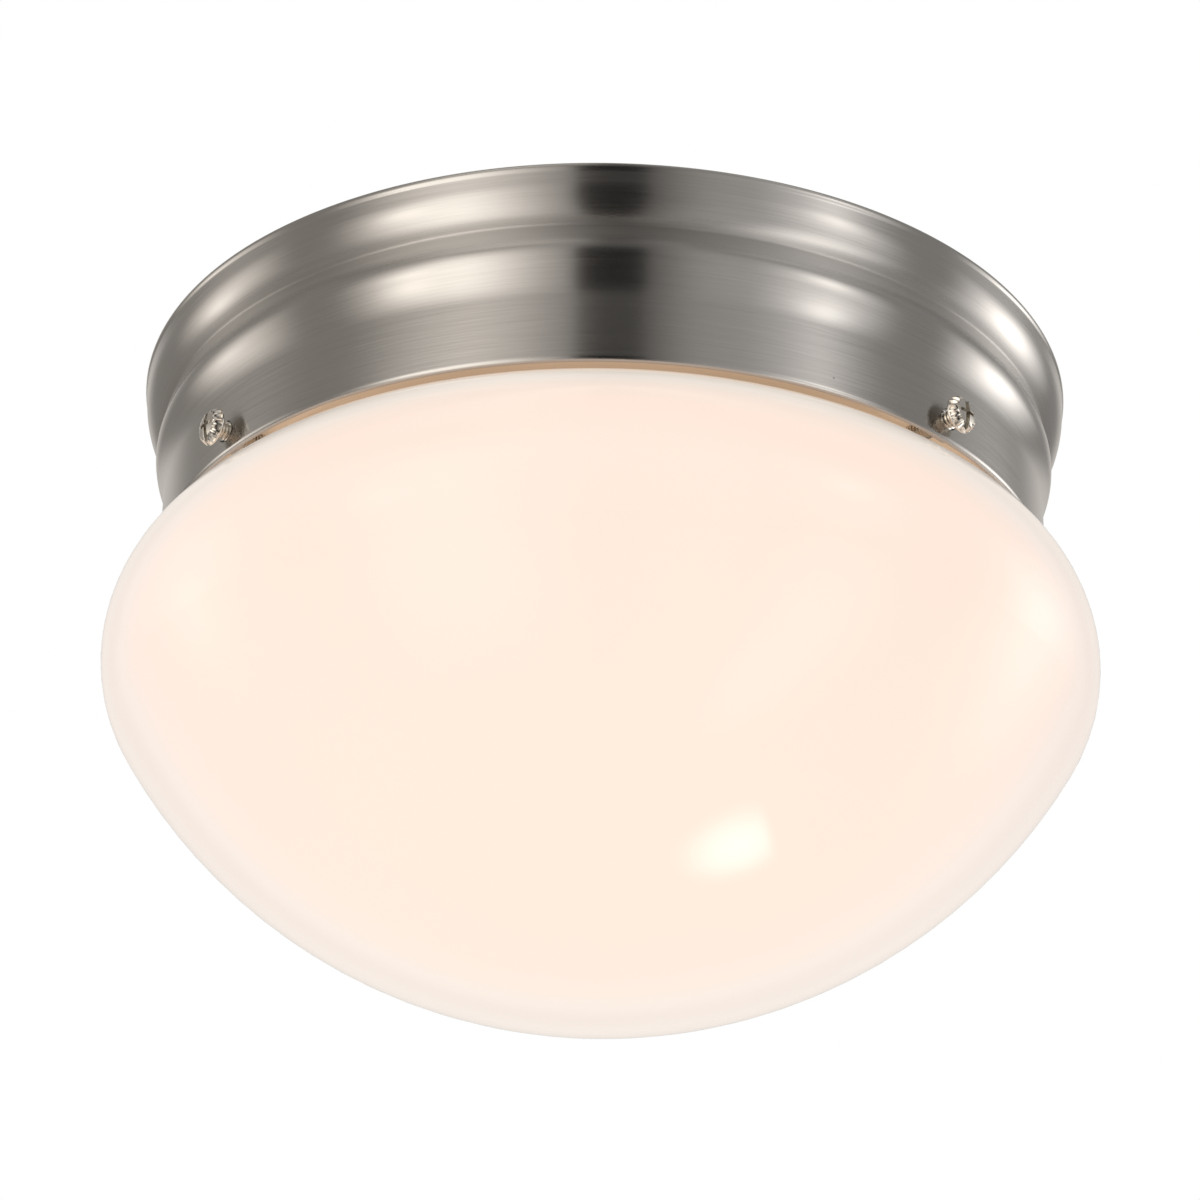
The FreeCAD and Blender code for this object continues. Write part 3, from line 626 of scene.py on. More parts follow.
# name, two colours, least and most roughness, then cloud, grain and relief where they differ
metals = {
    "polished_nickel": (
        "polishedNickel", (0.66, 0.615, 0.55), (0.78, 0.74, 0.68), 0.08, 0.2, 0.003, 0.0003, 0),
    "rivet_aluminium": ("rivetAluminium", (0.62, 0.62, 0.62), (0.74, 0.74, 0.73), 0.3, 0.45),
    "shell_aluminium": ("shellAluminium", (0.68, 0.68, 0.67), (0.8, 0.8, 0.79), 0.22, 0.36),
    "contact_brass": ("contactBrass", (0.60, 0.42, 0.16), (0.76, 0.57, 0.26), 0.2, 0.38),
    "bulb_cap_nickel": ("lampCapNickel", (0.62, 0.60, 0.56), (0.74, 0.72, 0.68), 0.18, 0.3),
    "green_steel": ("greenSteel", (0.03, 0.22, 0.08), (0.06, 0.34, 0.13), 0.28, 0.42),
}
# name, two colours, roughness, and a glow where there is one
plastics = {
    "black_nylon": ("blackNylon", (0.012, 0.012, 0.013), (0.028, 0.028, 0.03), 0.42),
    "bulb_plastic": ("lampPlastic", (0.78, 0.78, 0.76), (0.84, 0.84, 0.82), 0.36),
    "bulb_board": ("lampBoard", (0.70, 0.72, 0.70), (0.80, 0.81, 0.79), 0.4),
    "bulb_diffuser": (
        "lampDiffuser", (0.84, 0.82, 0.78), (0.9, 0.88, 0.84), 0.3, (1.0, 0.82, 0.64)),
}
finishes = {
    "brushed_nickel": makeBrushedNickel(),
    "opal_glass": makeOpalGlass(),
    "zinc_steel": makeZincSteel(),
    "porcelain": makePorcelain(),
    "glass_fibre": makeGlassFibre(),
}
finishes.update({slot: makeMetal(*values) for slot, values in metals.items()})
finishes.update({slot: makePlastic(*values) for slot, values in plastics.items()})
print("finishes made:", len(finishes))


# side screws, which hold the glass

sideScrew = {
    "tip": 95.8 * mm,          # how far the point is from the light's axis
    "drop": -42.5 * mm,
    "angles": (-50.6, 50.6, 180.0),
    "crest": 2.38 * mm, "root": 1.95 * mm, "pitch": 0.794 * mm,
    "point": 1.2 * mm,
    "length": 15.4 * mm,
    "pointCorner": 0.8 * mm,
    "threadSteps": 32,
    "threadStart": 0.7 * mm,
    "underside": 3.9 * mm,     # radius of the head's flat underside
    "teeth": 17,
    "toothDepth": 0.55 * mm,
    "slotWidth": 1.3 * mm,
    "slotDepth": 1.3 * mm,
    "crossWidth": 0.85 * mm,
    "crossReach": 2.3 * mm,
    "crossDepth": 1.5 * mm,
    "edge": 0.05 * mm,
}
# the head from its underside upwards: height, radius, share of the tooth depth
headRings = (
    (0.12, 4.50, 0.0), (0.50, 4.50, 0.0), (0.62, 4.42, 1.0), (1.25, 4.20, 1.0), (1.85, 3.82, 1.0),
    (2.15, 3.45, 0.8), (2.32, 3.05, 0.0), (2.50, 2.20, 0.0), (2.63, 1.20, 0.0), (2.68, 0.35, 0.0),
)


def outward(angle, reach, height):
    # local Z points away from the axis; angles are counted from the front towards +X
    bearing = math.radians(angle)
    turn = Matrix.Rotation(bearing, 4, "Z") @ Matrix.Rotation(math.radians(90), 4, "X")
    spot = Vector((reach * math.sin(bearing), -reach * math.cos(bearing), height))
    return Matrix.Translation(spot) @ turn


def sweepThread(bm, length, pitch, steps):
    # sweeps one pitch of a thread's outline round and up, and closes the ends
    turns = int(length / pitch) - 1
    bmesh.ops.spin(
        bm, geom=bm.verts[:] + bm.edges[:], cent=(0, 0, 0), axis=(0, 0, 1),
        dvec=(0, 0, pitch / steps), angle=turns * 2 * math.pi, steps=turns * steps)
    bmesh.ops.remove_doubles(bm, verts=bm.verts[:], dist=sameSpot * 2)
    ends = [edge for edge in bm.edges if edge.is_boundary]
    bmesh.ops.holes_fill(bm, edges=ends, sides=0)
    bmesh.ops.recalc_face_normals(bm, faces=bm.faces[:])


def threadedRod(size, bottom, top):
    # the outline of one pitch: radius, and height in pitches
    crest, root, pitch = size["crest"], size["root"], size["pitch"]
    shape = ((root, 0.0), (root, 0.06), (crest, 0.46), (crest, 0.6), (root, 1.0))
    bm = outlineFrom([(radius, bottom + rise * pitch) for radius, rise in shape])
    sweepThread(bm, top - bottom, pitch, size["threadSteps"])
    return bm


def slotTool(size, height):
    # cuts a slot right across a head whose outer face is at this height
    return makeBox(size["slotWidth"], acrossHead, size["slotDepth"] * 2, (0, 0, height))


def knurledHead(base):
    # every tooth takes two points on its crest and two in its valley
    segments = sideScrew["teeth"] * 4
    bm = bmesh.new()
    made = bmesh.ops.create_circle(
        bm, cap_ends=True, radius=sideScrew["underside"], segments=segments,
        matrix=Matrix.Translation((0, 0, base)))
    ring = made["verts"]
    for height, radius, share in headRings:
        edges = [edge for edge in bm.edges if all(vert in ring for vert in edge.verts)]
        grown = bmesh.ops.extrude_edge_only(bm, edges=edges)["geom"]
        ring = [item for item in grown if isinstance(item, bmesh.types.BMVert)]
        for vert in ring:
            turn = math.atan2(vert.co.y, vert.co.x)
            valley = round(turn / (2 * math.pi) * segments) % 4 in (2, 3)
            reach = radius * mm - sideScrew["toothDepth"] * share * valley
            vert.co = (reach * math.cos(turn), reach * math.sin(turn), base + height * mm)
    bmesh.ops.contextual_create(bm, geom=ring)
    bmesh.ops.recalc_face_normals(bm, faces=bm.faces[:])
    return bm


def makeSideScrew(number, angle):
    size = sideScrew
    base = size["length"]
    top = base + headRings[-1][0] * mm
    reach, width, depth = size["crossReach"] * 2, size["crossWidth"], size["crossDepth"] * 2
    bm = carve(knurledHead(base), [
        slotTool(size, top), makeBox(reach, width, depth, (0, 0, top)),
        makeBox(width, reach, depth, (0, 0, top))])
    sharp = [edge for edge in bm.edges if edge.calc_face_angle(0) > math.radians(60)]
    bevel(bm, sharp, size["edge"], 1)
    # the core and the thread both run on into the head
    core, inHead = size["root"] * coreShare, base + 0.3 * mm
    rod = outlineFrom([
        (0, 0), (size["crest"] - size["point"], 0), (core, size["pointCorner"]),
        (core, inHead), (0, inHead)])
    spinAround(rod, size["threadSteps"])
    addTo(bm, rod)
    addTo(bm, threadedRod(size, size["threadStart"], inHead + 0.2 * mm))
    moveBy(bm, outward(angle, size["tip"], size["drop"]))
    body = f"shade_screw_{number}"
    finishPiece(f"sideScrew{number}", bm, "polished_nickel", body, body, 28)


for number, angle in enumerate(sideScrew["angles"], 1):
    makeSideScrew(number, angle)
print("side screws made")


# the pan: one sheet, spun and drilled

panSkin = {
    "wireHole": 11.0 * mm,
    "plate": -8.0 * mm,
    "wall": 0.8 * mm,
    "lip": 107.2 * mm,
    "bottom": -48.5 * mm,
    "hold": 0.3 * mm,
    "steps": 400,
    "band": 108.0 * mm,
    "bandCut": 6.0 * mm,
    "plateCut": 4.0 * mm,
    "screwHole": 2.7 * mm,
    "rivetHole": 1.6 * mm,
    "earthHole": 2.1 * mm,
    "slotPlace": 39.7 * mm,
    "slotLength": 14.6 * mm,
    "slotWidth": 5.0 * mm,
}
# from the plate to the lip, in mm and degrees:
# centre, outer and inner radius, first and last angle, steps
panBends = (
    (97.8, -6.8, 1.2, 2.0, -90, 0, 6),
    (101.0, -2.0, 2.0, 1.2, 180, 90, 6),
    (113.15, -1.35, 1.35, 0.55, 90, -30, 14),
    (115.358, -2.625, 1.2, 2.0, 150, 176, 6),
    (103.012, -4.616, 10.98, 10.18, -4.0, -52, 16),
    (110.265, -13.898, 0.8, 1.6, 128, 193.2, 10),
    (104.8, -20.4, 6.0, 5.2, 13.2, 0, 6),
    (103.1, -20.4, 7.7, 6.9, 0, -25, 8),
    (127.29, -31.679, 18.99, 19.79, 155, 180, 10),
    (107.3, -47.5, 1.0, 0.2, 0, -90, 8),
)


def panOutline():
    # out along the sheet's outer face, and back along its inner face
    size = panSkin
    bm = bmesh.new()
    begin = tip = bm.verts.new((size["wireHole"], 0, size["plate"]))
    for inside in (False, True):
        for x, z, outer, inner, first, last, steps in panBends[::-1 if inside else 1]:
            radius = inner if inside else outer
            if inside:
                first, last, steps = last, first, steps // 2
            start = math.radians(first)
            bendX, bendZ = x + radius * math.cos(start), z + radius * math.sin(start)
            tip = runTo(bm, tip, bendX * mm, bendZ * mm, size["hold"])
            tip = bendTo(bm, tip, x * mm, z * mm, last - first, steps)
        if not inside:
            tip = drawTo(bm, tip, size["lip"], size["bottom"])
            tip = drawTo(bm, tip, size["lip"], size["bottom"] + size["wall"])
    tip = runTo(bm, tip, size["wireHole"], size["plate"] - size["wall"], size["hold"])
    bm.edges.new((tip, begin))
    return bm


def panCutter():
    size = panSkin
    middle = size["plate"] - size["wall"] / 2
    cuts = bmesh.new()
    for angle in sideScrew["angles"]:
        hole = makeRod(size["screwHole"], size["bandCut"], (0, 0, 0), 64)
        moveBy(hole, outward(angle, size["band"], sideScrew["drop"]))
        addTo(cuts, hole)
    for x, y in insulationRing["rivets"]:
        addTo(cuts, makeRod(size["rivetHole"], size["plateCut"], (x * mm, y * mm, middle)))
    addTo(cuts, makeRod(size["earthHole"], size["plateCut"], (*earthScrew["place"], middle)))
    for side in (-1, 1):
        slot = makeBox(
            size["slotLength"], size["slotWidth"], size["plateCut"],
            (size["slotPlace"] * side, 0, middle))
        upright = [edge for edge in slot.edges
                   if abs(edge.verts[0].co.z - edge.verts[1].co.z) > 1 * mm]
        bevel(slot, upright, size["slotWidth"] * 0.499, 10)
        addTo(cuts, slot)
    return cuts


def makePan():
    bm = panOutline()
    spinAround(bm, panSkin["steps"])
    bm = carve(bm, [panCutter()])
    finishPiece("panSkin", bm, "brushed_nickel", "fixture", "pan", 40)


# weld nuts inside the band

weldNut = {
    "corner": 4.6 * mm,
    "height": 3.0 * mm,
    "bore": 2.45 * mm,
    "edge": 0.35 * mm,
}
# how far the nuts' inner faces are from the axis, from the CAD node at the back
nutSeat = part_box("shade_nut_3")[0].y


def makeWeldNut(number, angle):
    size = weldNut
    middle = (0, 0, size["height"] / 2)
    bm = makeHexagon(size["corner"], size["height"], middle)
    bevel(bm, bm.edges[:], size["edge"], 3)
    bm = carve(bm, [makeRod(size["bore"], size["height"] * 3, middle)])
    moveBy(bm, outward(angle, nutSeat, sideScrew["drop"]))
    finishPiece(f"weldNut{number}", bm, "zinc_steel", "fixture", f"shade_nut_{number}")


for number, angle in enumerate(sideScrew["angles"], 1):
    makeWeldNut(number, angle)
print("nuts made")


# insulation ring

insulationRing = {
    "inner": 50.0 * mm,
    "outer": 97.0 * mm,
    "low": -8.0 * mm,
    "high": -0.8 * mm,
    "corner": 1.6 * mm,
    "steps": 168,
    "rivets": ((-54, 20.5), (-54, 33.5), (54, -20.5), (54, -33.5)),
    # the hollows over the rivets
    "relief": 4.2 * mm,
    "reliefDepth": 2.4 * mm,
    # edges longer than this are cut up, so that the faces can sag
    "longEdge": 20 * mm,
    "edgeCuts": 22,
    # how far the top sags, and below which share of the height nothing does
    "rise": 0.75 * mm,
    "firm": 0.35,
    # the sag's evenness, and the size and share of its broad and fine unevenness
    "even": 0.55,
    "broad": (70.0, 0.6),
    "fine": (420.0, 0.25),
}


def makeInsulation():
    size = insulationRing
    low, high = size["low"], size["high"]
    bm = outlineFrom([
        (size["inner"], low), (size["outer"], low), (size["outer"], high), (size["inner"], high)],
        closed=True)
    bevel(bm, bm.verts[:], size["corner"], 4, "VERTICES")
    longEdges = [edge for edge in bm.edges if edge.calc_length() > size["longEdge"]]
    bmesh.ops.subdivide_edges(bm, edges=longEdges, cuts=size["edgeCuts"])
    spinAround(bm, size["steps"])
    bm = carve(bm, [
        makeRod(size["relief"], size["reliefDepth"] * 2, (x * mm, y * mm, low), 32)
        for x, y in size["rivets"]])
    settle(bm)
    piece = finishPiece("insulationPad", bm, "glass_fibre", "fixture", "insulation_pad", 60)


def settle(bm):
    # the batt's top is uneven and its sides are a little ragged; its underside lies flat
    size = insulationRing
    broadScale, broadShare = size["broad"]
    fineScale, fineShare = size["fine"]
    for vert in bm.verts:
        lift = (vert.co.z - size["low"]) / (size["high"] - size["low"])
        if lift < size["firm"]:
            continue
        broad = broadShare * noise.noise(vert.co * broadScale)
        fine = fineShare * noise.noise(vert.co * fineScale)
        vert.co.z -= max(0.0, size["rise"] * lift * (size["even"] + broad + fine))


makeInsulation()
print("insulation made")


# wire bushing

wireBushing = {
    "bore": 8.5 * mm,
    "waist": 10.95 * mm,
    "flange": 13.5 * mm,
    "snap": 11.7 * mm,
    "lip": 1.5 * mm,
    "plateTop": -8.0 * mm,
    "plateLow": -8.8 * mm,
    "slits": 8,
    "slitWidth": 0.8 * mm,
    "slitFloor": 0.05 * mm,    # above the plate
    "slitCut": (40 * mm, 4 * mm),
    "rim": 1.1 * mm,
    "mouth": 0.4 * mm,
    "steps": 96,
}


def makeBushing():
    size = wireBushing
    top, low = size["plateTop"], size["plateLow"]
    bm = outlineFrom([
        (size["bore"], low - size["lip"]), (size["flange"], low - size["lip"]),
        (size["flange"], low), (size["waist"], low), (size["waist"], top), (size["snap"], top),
        (size["waist"], top + size["lip"]), (size["bore"], top + size["lip"])], closed=True)
    corners = [vert for vert in bm.verts if vert.co.z < low - 1 * mm and vert.co.x > 10 * mm]
    bevel(bm, corners, size["rim"], 4, "VERTICES")
    mouths = [vert for vert in bm.verts if vert.co.x < size["bore"] + 0.01 * mm]
    bevel(bm, mouths, size["mouth"], 3, "VERTICES")
    spinAround(bm, size["steps"])
    # each slit tool goes through both sides of the ring, above the plate only
    cuts = []
    tools = size["slits"] // 2
    length, height = size["slitCut"]
    for number in range(tools):
        middle = (0, 0, top + size["slitFloor"] + height / 2)
        tool = makeBox(length, size["slitWidth"], height, middle)
        moveBy(tool, Matrix.Rotation(math.pi * number / tools, 4, "Z"))
        cuts.append(tool)
    bm = carve(bm, cuts)
    finishPiece("wireBushing", bm, "black_nylon", "fixture", "wire_bushing")


makeBushing()
print("bushing made")


# earth screw

earthScrew = {
    "place": (0.0, 28.0 * mm),
    "underHead": -8.8 * mm,
    "flangeRadius": 5.0 * mm,
    "flangeHeight": 0.8 * mm,
    "flangeEdge": 0.2 * mm,
    "hexRadius": 3.7 * mm,
    "hexHeight": 2.6 * mm,
    "hexEdge": 0.4 * mm,
    "hexOverlap": 0.1 * mm,
    "crest": 2.03 * mm, "root": 1.68 * mm, "pitch": 0.794 * mm,
    "end": -3.6 * mm,
    "tip": 0.3 * mm,
    "tipShare": 0.7,
    "slotWidth": 0.9 * mm,
    "slotDepth": 0.8 * mm,
    "steps": 48,
    "threadSteps": 28,
}


def makeEarthScrew():
    size = earthScrew
    seat, end, soft = size["underHead"], size["end"], size["flangeEdge"]
    low = seat - size["flangeHeight"]
    bottom = low - size["hexHeight"]
    middle = (bottom + low) / 2 + size["hexOverlap"] / 2
    bm = makeHexagon(size["hexRadius"], size["hexHeight"] + size["hexOverlap"], (0, 0, middle))
    rim = [edge for edge in bm.edges if all(vert.co.z < bottom + 0.01 * mm for vert in edge.verts)]
    bevel(bm, rim, size["hexEdge"], 3)
    slot = slotTool(size, bottom)
    moveBy(slot, Matrix.Rotation(math.radians(90), 4, "Z"))
    bm = carve(bm, [slot])
    flange, core = size["flangeRadius"], size["root"] * coreShare
    disc = outlineFrom([
        (0, low), (flange - soft, low), (flange, low + soft), (flange, seat), (core, seat),
        (core, end - size["tip"]), (size["root"] * size["tipShare"], end), (0, end)])
    spinAround(disc, size["steps"])
    addTo(bm, disc)
    addTo(bm, threadedRod(size, seat - 0.2 * mm, end + 0.1 * mm))
    moveBy(bm, Matrix.Translation((*size["place"], 0)))
    finishPiece("earthScrew", bm, "green_steel", "fixture", "earth_screw")


makeEarthScrew()
print("earth screw made")
makePan()
print("pan made")


# lamps and lampholders

lampPlace = {
    "reach": 44.0 * mm,      # from the light's middle to a lamp's contact tip
    "offset": 27.0 * mm,
    "drop": 50.0 * mm,
}
holderScrew = {
    "places": (-9.5 * mm, 9.5 * mm),
    "face": -19.2 * mm,
    "deep": -10.3 * mm,
    "crest": 1.75 * mm, "root": 1.4 * mm, "pitch": 0.7 * mm,
    "headRadius": 3.4 * mm,
    "headHeight": 2.2 * mm,
    # the head's outline: share of the radius, and height
    "headShape": ((0.0, 0.0), (0.6, 0.15 * mm), (1.0, 1.2 * mm)),
    "headCorner": 0.5 * mm,
    "tip": 0.8 * mm,
    "slotWidth": 0.8 * mm,
    "slotDepth": 0.9 * mm,
    "steps": 48,
    "threadSteps": 28,
}
lampCap = {
    "crest": 13.1 * mm, "root": 12.45 * mm, "pitch": 3.63 * mm,
    "start": 4.6 * mm,
    "end": 25.5 * mm,
    "throat": 4.8 * mm,
    "tipHeight": 1.0 * mm,
    "stepsPerTurn": 48,
    "waves": 8,                # straight pieces in one pitch of the rolled thread
    "skirt": 12.9 * mm,
    "skirtFlare": (21.2 * mm, 21.9 * mm),
    # the shell's shoulder, outside and inside, and how far in from its side it starts
    "outerShoulder": (3.3 * mm, 4.2 * mm),
    "innerShoulder": (4.0 * mm, 5.0 * mm),
    "shoulder": 0.8 * mm,
    "wall": 0.4 * mm,
}
lampBoard = {
    "radius": 24.2 * mm,
    "face": 66.0 * mm,
    "height": 1.6 * mm,
    "chips": 14,
    "chipRing": 15.0 * mm,
    "chipSize": (2.8 * mm, 3.5 * mm, 0.7 * mm),
    "chipEdge": 0.15 * mm,
    # the disc's thickness and the depth of its middle, in shares of the height
    "discHeight": 0.55,
    "discDepth": 0.72,
    "steps": 96,
}


def lampMatrix(side):
    # local Z runs from the holder into the lamp, and local X points down
    turn = Matrix.Rotation(math.radians(90), 4, "Y")
    if side > 0:
        turn = Matrix.Rotation(math.radians(180), 4, "Z") @ turn
    spot = (lampPlace["reach"] * side, -lampPlace["offset"] * side, -lampPlace["drop"])
    return Matrix.Translation(spot) @ turn


def makeHolderScrews(number, side):
    size = holderScrew
    face, radius, deep = size["face"], size["headRadius"], size["deep"]
    core = size["root"] * coreShare
    low = face - size["headHeight"]
    inHead = face - 0.1 * mm
    whole = bmesh.new()
    for place in size["places"]:
        shape = [(radius * share, low + rise) for share, rise in size["headShape"]]
        head = outlineFrom([*shape, (radius, face), (0, face)])
        corners = [vert for vert in head.verts if vert.co.x > 1 * mm and vert.co.z < inHead]
        bevel(head, corners, size["headCorner"], 3, "VERTICES")
        spinAround(head, size["steps"])
        head = carve(head, [slotTool(size, low)])
        shaft = outlineFrom([(0, inHead), (core, inHead), (core, deep - size["tip"]), (0, deep)])
        spinAround(shaft, size["threadSteps"])
        addTo(head, shaft)
        addTo(head, threadedRod(size, inHead, deep))
        moveBy(head, Matrix.Translation((place, 0, 0)))
        addTo(whole, head)
    moveBy(whole, lampMatrix(side))
    finishPiece(
        f"holderScrews{number}", whole, "zinc_steel", "fixture", f"holder_screws_{number}")


def makeLampCap(number, side):
    # a rolled thread: one rounded wave swept round and up, over a plain shell
    size = lampCap
    root, skirt, end = size["root"], size["skirt"], size["end"]
    wave = []
    for step in range(size["waves"] + 1):
        share = step / size["waves"]
        swell = (1 - math.cos(2 * math.pi * share)) / 2
        radius = root + (size["crest"] - root) * swell
        wave.append((radius, size["start"] + share * size["pitch"]))
    bm = outlineFrom(wave)
    sweepThread(bm, end - size["start"], size["pitch"], size["stepsPerTurn"])
    outer = root * 0.995
    inner = outer - size["wall"]
    low, high = size["outerShoulder"]
    lowIn, highIn = size["innerShoulder"]
    flareLow, flareHigh = size["skirtFlare"]
    shell = outlineFrom([
        (size["throat"], size["tipHeight"]), (outer - size["shoulder"], low), (outer, high),
        (outer, flareLow), (skirt, flareHigh), (skirt, end), (skirt - size["wall"], end),
        (inner, highIn), (inner - size["shoulder"], lowIn),
        (size["throat"], size["tipHeight"] + size["wall"] * 2)], closed=True)
    spinAround(shell, size["stepsPerTurn"])
    addTo(bm, shell)
    moveBy(bm, lampMatrix(side))
    finishPiece(
        f"lampCap{number}", bm, "bulb_cap_nickel", f"lamp_{number}", f"bulb_cap_{number}")


def makeLampBoard(number, side):
    size = lampBoard
    face = size["face"]
    bm = makeRod(
        size["radius"], size["height"] * size["discHeight"],
        (0, 0, face - size["height"] * size["discDepth"]), size["steps"])
    for chip in range(size["chips"]):
        turn = Matrix.Rotation(2 * math.pi * chip / size["chips"], 4, "Z")
        spot = Matrix.Translation((size["chipRing"], 0, face - size["chipSize"][2] / 2))
        made = bmesh.ops.create_cube(
            bm, size=1, matrix=turn @ spot @ Matrix.Diagonal((*size["chipSize"], 1)))
        edges = list({edge for vert in made["verts"] for edge in vert.link_edges})
        bevel(bm, edges, size["chipEdge"], 2)
    moveBy(bm, lampMatrix(side))
    finishPiece(
        f"lampBoard{number}", bm, "bulb_board", f"lamp_{number}", f"bulb_board_{number}")


for number, side in enumerate((-1, 1), 1):
    makeHolderScrews(number, side)
    makeLampCap(number, side)
    makeLampBoard(number, side)
print("lamp pieces made")


# CAD nodes that keep their shape

carried = {"glass_shade": "opal_glass", "bracket_rivets": "rivet_aluminium"}
inPairs = {
    "lamp_bracket": "zinc_steel", "lampholder": "porcelain", "screw_shell": "shell_aluminium",
    "centre_contact": "contact_brass", "bulb_tip": "contact_brass",
    "bulb_housing": "bulb_plastic", "bulb_dome": "bulb_diffuser",
}
for number in (1, 2):
    carried.update({f"{node}_{number}": slot for node, slot in inPairs.items()})
for node, slot in carried.items():
    dress(node, slot)
print("CAD nodes dressed:", len(carried))


# floor, world, lights and camera

def makeFloor():
    bm = bmesh.new()
    bmesh.ops.create_grid(
        bm, x_segments=8, y_segments=8, size=studio["floorSize"] / 2,
        matrix=Matrix.Translation((0, 0, studio["floorHeight"])))
    material, board, shader, point = newMaterial("studioFloor", Roughness=0.6)
    clouds = board.noise(point, studio["floorClouds"])
    colour = board.between(clouds, studio["floorTones"])
    # the floor looks pale from above without lighting the part more
    seen = board.add("LightPath").outputs["Is Camera Ray"]
    glow = board.mix(seen, black, studio["floorGlow"])
    board.fill(shader, {"Base Color": colour, "Emission Strength": 1.0, "Emission Color": glow})
    floor = heldObject(bm, "floor")
    floor.data.materials.append(material)
    floor.visible_glossy = False


def heading(azimuth, elevation):
    # the direction of an azimuth that is counted from the camera
    turn = math.radians(azimuth + studio["azimuth"])
    rise = math.radians(elevation)
    level = math.cos(rise)
    return Vector((math.sin(turn) * level, -math.cos(turn) * level, math.sin(rise)))


class Room:
    # the studio, as the node values that a direction sees
    def __init__(self, board):
        self.board = board
        self.point = board.add("TexCoord").outputs["Generated"]
        axes = board.add("SeparateXYZ", {0: self.point}).outputs
        facing = board.times(axes[1], -1.0)
        turn = board.math("DEGREES", board.math("ARCTAN2", axes[0], facing))
        self.azimuth = board.math("SUBTRACT", turn, studio["azimuth"])
        self.elevation = board.math("DEGREES", board.math("ARCSINE", axes[2]))

    def fade(self, value, none, full):
        # 0 at none, 1 at full, eased in between
        return self.board.remap(value, none, full, interpolation_type="SMOOTHSTEP")

    def within(self, value, centre, half, soft):
        away = self.board.math("ABSOLUTE", self.board.math("SUBTRACT", value, centre))
        return self.fade(away, half + soft, half - soft)

    def towards(self, direction):
        inputs = {0: self.point, 1: tuple(direction)}
        return self.board.add("VectorMath", inputs, operation="DOT_PRODUCT").outputs["Value"]

    def screen(self, azimuth, elevation, halfWidth, halfHeight, softWidth, softHeight, radiance):
        across = self.within(self.azimuth, azimuth, halfWidth, softWidth)
        upright = self.within(self.elevation, elevation, halfHeight, softHeight)
        return self.board.times(self.board.times(across, upright), radiance)

    def shade(self):
        shade = studio["rightShade"]
        fadeOut = self.fade(self.azimuth, *shade["fadeOut"])
        fadeIn = self.fade(self.azimuth, *shade["fadeIn"])
        return self.board.times(self.board.times(fadeOut, fadeIn), shade["depth"])

    def gap(self):
        gap = studio["gap"]
        across = self.within(self.azimuth, gap["azimuth"], gap["halfWidth"], gap["soft"])
        top = self.fade(self.elevation, gap["top"] + gap["topSoft"], gap["top"] - gap["topSoft"])
        return self.board.times(across, top)

    def spot(self):
        spot = studio["spot"]
        middle = heading(spot["azimuth"], spot["elevation"])
        side = heading(spot["azimuth"] + 90, 0)
        over = side.cross(middle)
        edge = (side - over * math.copysign(1, over.z)).normalized()
        reach = math.cos(math.radians(spot["radius"]))
        glow = self.board.remap(self.towards(middle), reach, 1.0)
        glow = self.board.math("POWER", glow, spot["falloff"])
        none, full = spot["edge"] - spot["edgeSoft"], spot["edge"] + spot["edgeSoft"]
        cut = self.fade(self.towards(edge), none, full)
        return self.board.times(self.board.times(glow, cut), spot["radiance"])


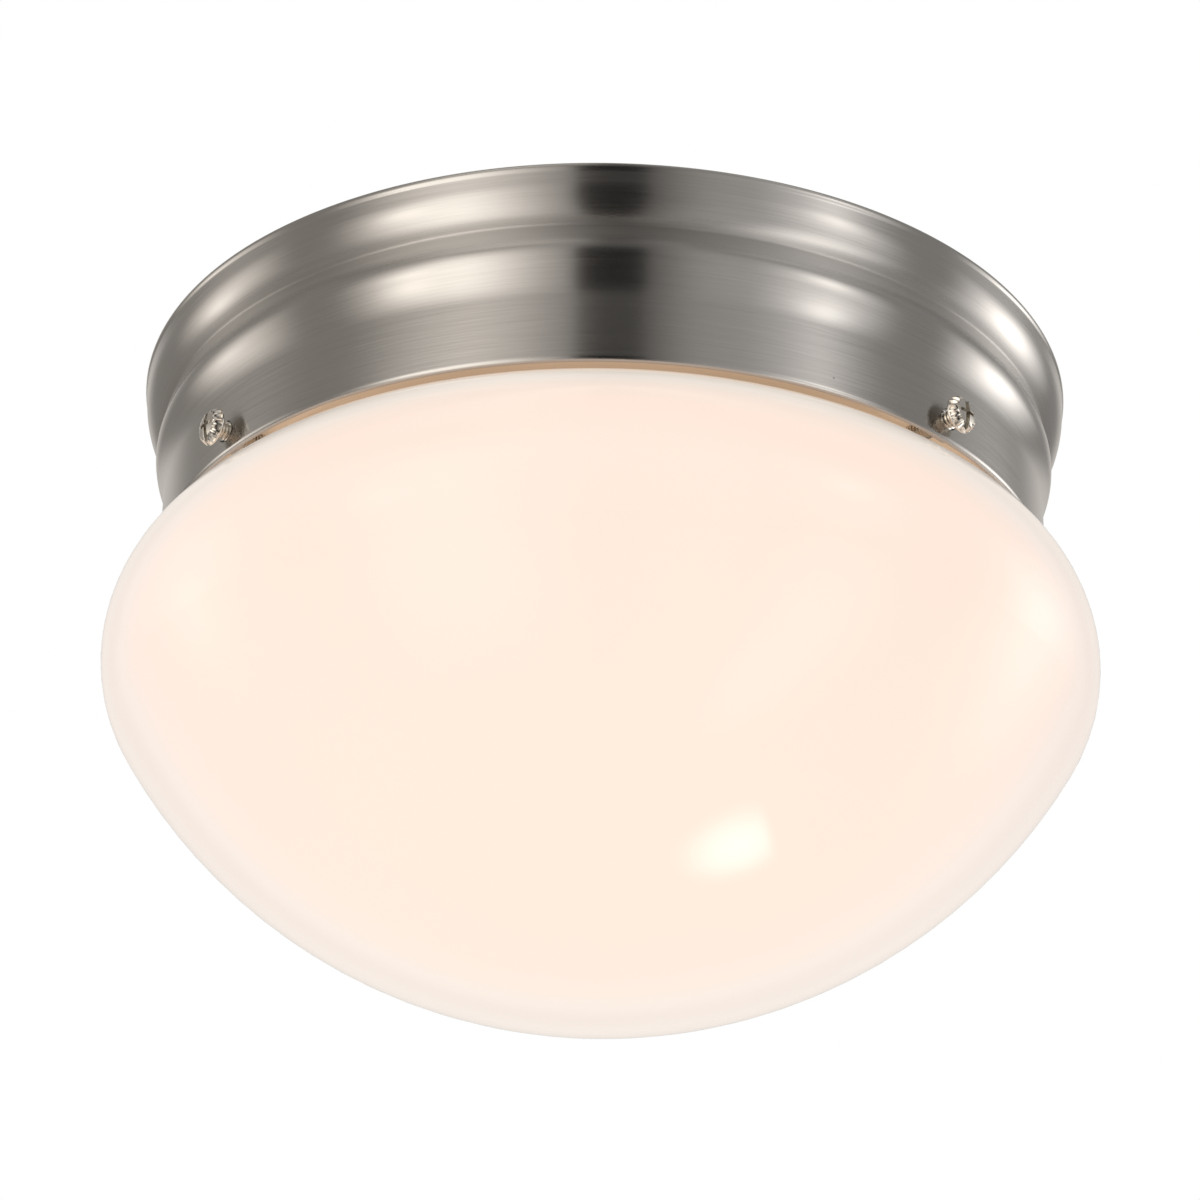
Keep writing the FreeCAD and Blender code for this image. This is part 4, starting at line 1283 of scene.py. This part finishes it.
def makeWorld():
    # the camera sees a white backdrop; metal and glass mirror the studio's screens
    world = bpy.data.worlds.new("studioWorld")
    bpy.context.scene.world = world
    world.use_nodes = True
    tree = world.node_tree
    tree.nodes.clear()
    board = Board(tree)
    room = Room(board)
    tone = board.math("SUBTRACT", studio["roomGrey"], room.shade())
    for values in studio["screens"].values():
        tone = board.math("ADD", tone, room.screen(*values))
    gap = room.gap()
    dark = board.times(gap, studio["gap"]["grey"])
    tone = board.times(tone, board.math("SUBTRACT", 1.0, gap))
    tone = board.math("ADD", board.math("ADD", tone, dark), room.spot())
    side = room.fade(room.azimuth, *studio["tintFade"])
    tint = board.between(side, studio["tints"])
    grey = board.add("CombineColor", {0: tone, 1: tone, 2: tone}).outputs[0]
    colour = board.mix(1.0, grey, tint, "MULTIPLY")
    ahead = room.towards(heading(180, studio["elevation"]))
    behind = room.fade(ahead, *studio["behindFade"])
    colour = board.mix(behind, colour, studio["behind"])
    path = board.add("LightPath").outputs
    mirrored = board.add("Background", {"Color": colour}).outputs[0]
    backdrop = board.add("Background", {"Color": studio["backdrop"]}).outputs[0]
    ambient = board.add("Background", {
        "Color": studio["ambientTint"], "Strength": studio["ambient"]}).outputs[0]
    shiny = board.math("MAXIMUM", path["Is Glossy Ray"], path["Is Transmission Ray"])
    light = board.add("MixShader", {0: shiny, 1: ambient, 2: mirrored}).outputs[0]
    shown = board.add("MixShader", {0: path["Is Camera Ray"], 1: light, 2: backdrop})
    board.add("OutputWorld", {"Surface": shown.outputs[0]})


def makeSoftBox(name, azimuth, elevation, distance, size, radiance):
    offset = heading(azimuth, elevation)
    lamp = bpy.data.lights.new(name, "AREA")
    lamp.shape = "SQUARE"
    lamp.size = size
    lamp.energy = radiance * math.pi * size * size
    box = bpy.data.objects.new(name, lamp)
    bpy.context.scene.collection.objects.link(box)
    box.location = Vector(studio["aim"]) + offset * distance
    box.rotation_euler = offset.to_track_quat("Z", "Y").to_euler()
    box.visible_camera = False
    box.visible_glossy = False


def makeCamera():
    lens = bpy.data.cameras.new("photoCamera")
    lens.sensor_width = studio["sensorWidth"]
    lens.lens = studio["focalPixels"] / studio["framePixels"] * lens.sensor_width
    camera = bpy.data.objects.new("photoCamera", lens)
    bpy.context.scene.collection.objects.link(camera)
    rise = math.radians(studio["elevation"])
    ahead = Vector((0, math.cos(rise), math.sin(rise)))
    spot = Vector(studio["aim"]) - ahead * studio["distance"]
    camera.matrix_world = (
        Matrix.Rotation(math.radians(studio["azimuth"]), 4, "Z")
        @ Matrix.Translation(spot)
        @ Matrix.Rotation(math.radians(90) + rise, 4, "X")
        @ Matrix.Rotation(math.radians(studio["roll"]), 4, "Z"))
    bpy.context.scene.camera = camera


makeFloor()
makeWorld()
for name, values in studio["softBoxes"].items():
    makeSoftBox(name, *values)
makeCamera()
bpy.context.scene.view_settings.view_transform = "Standard"
print("studio made")
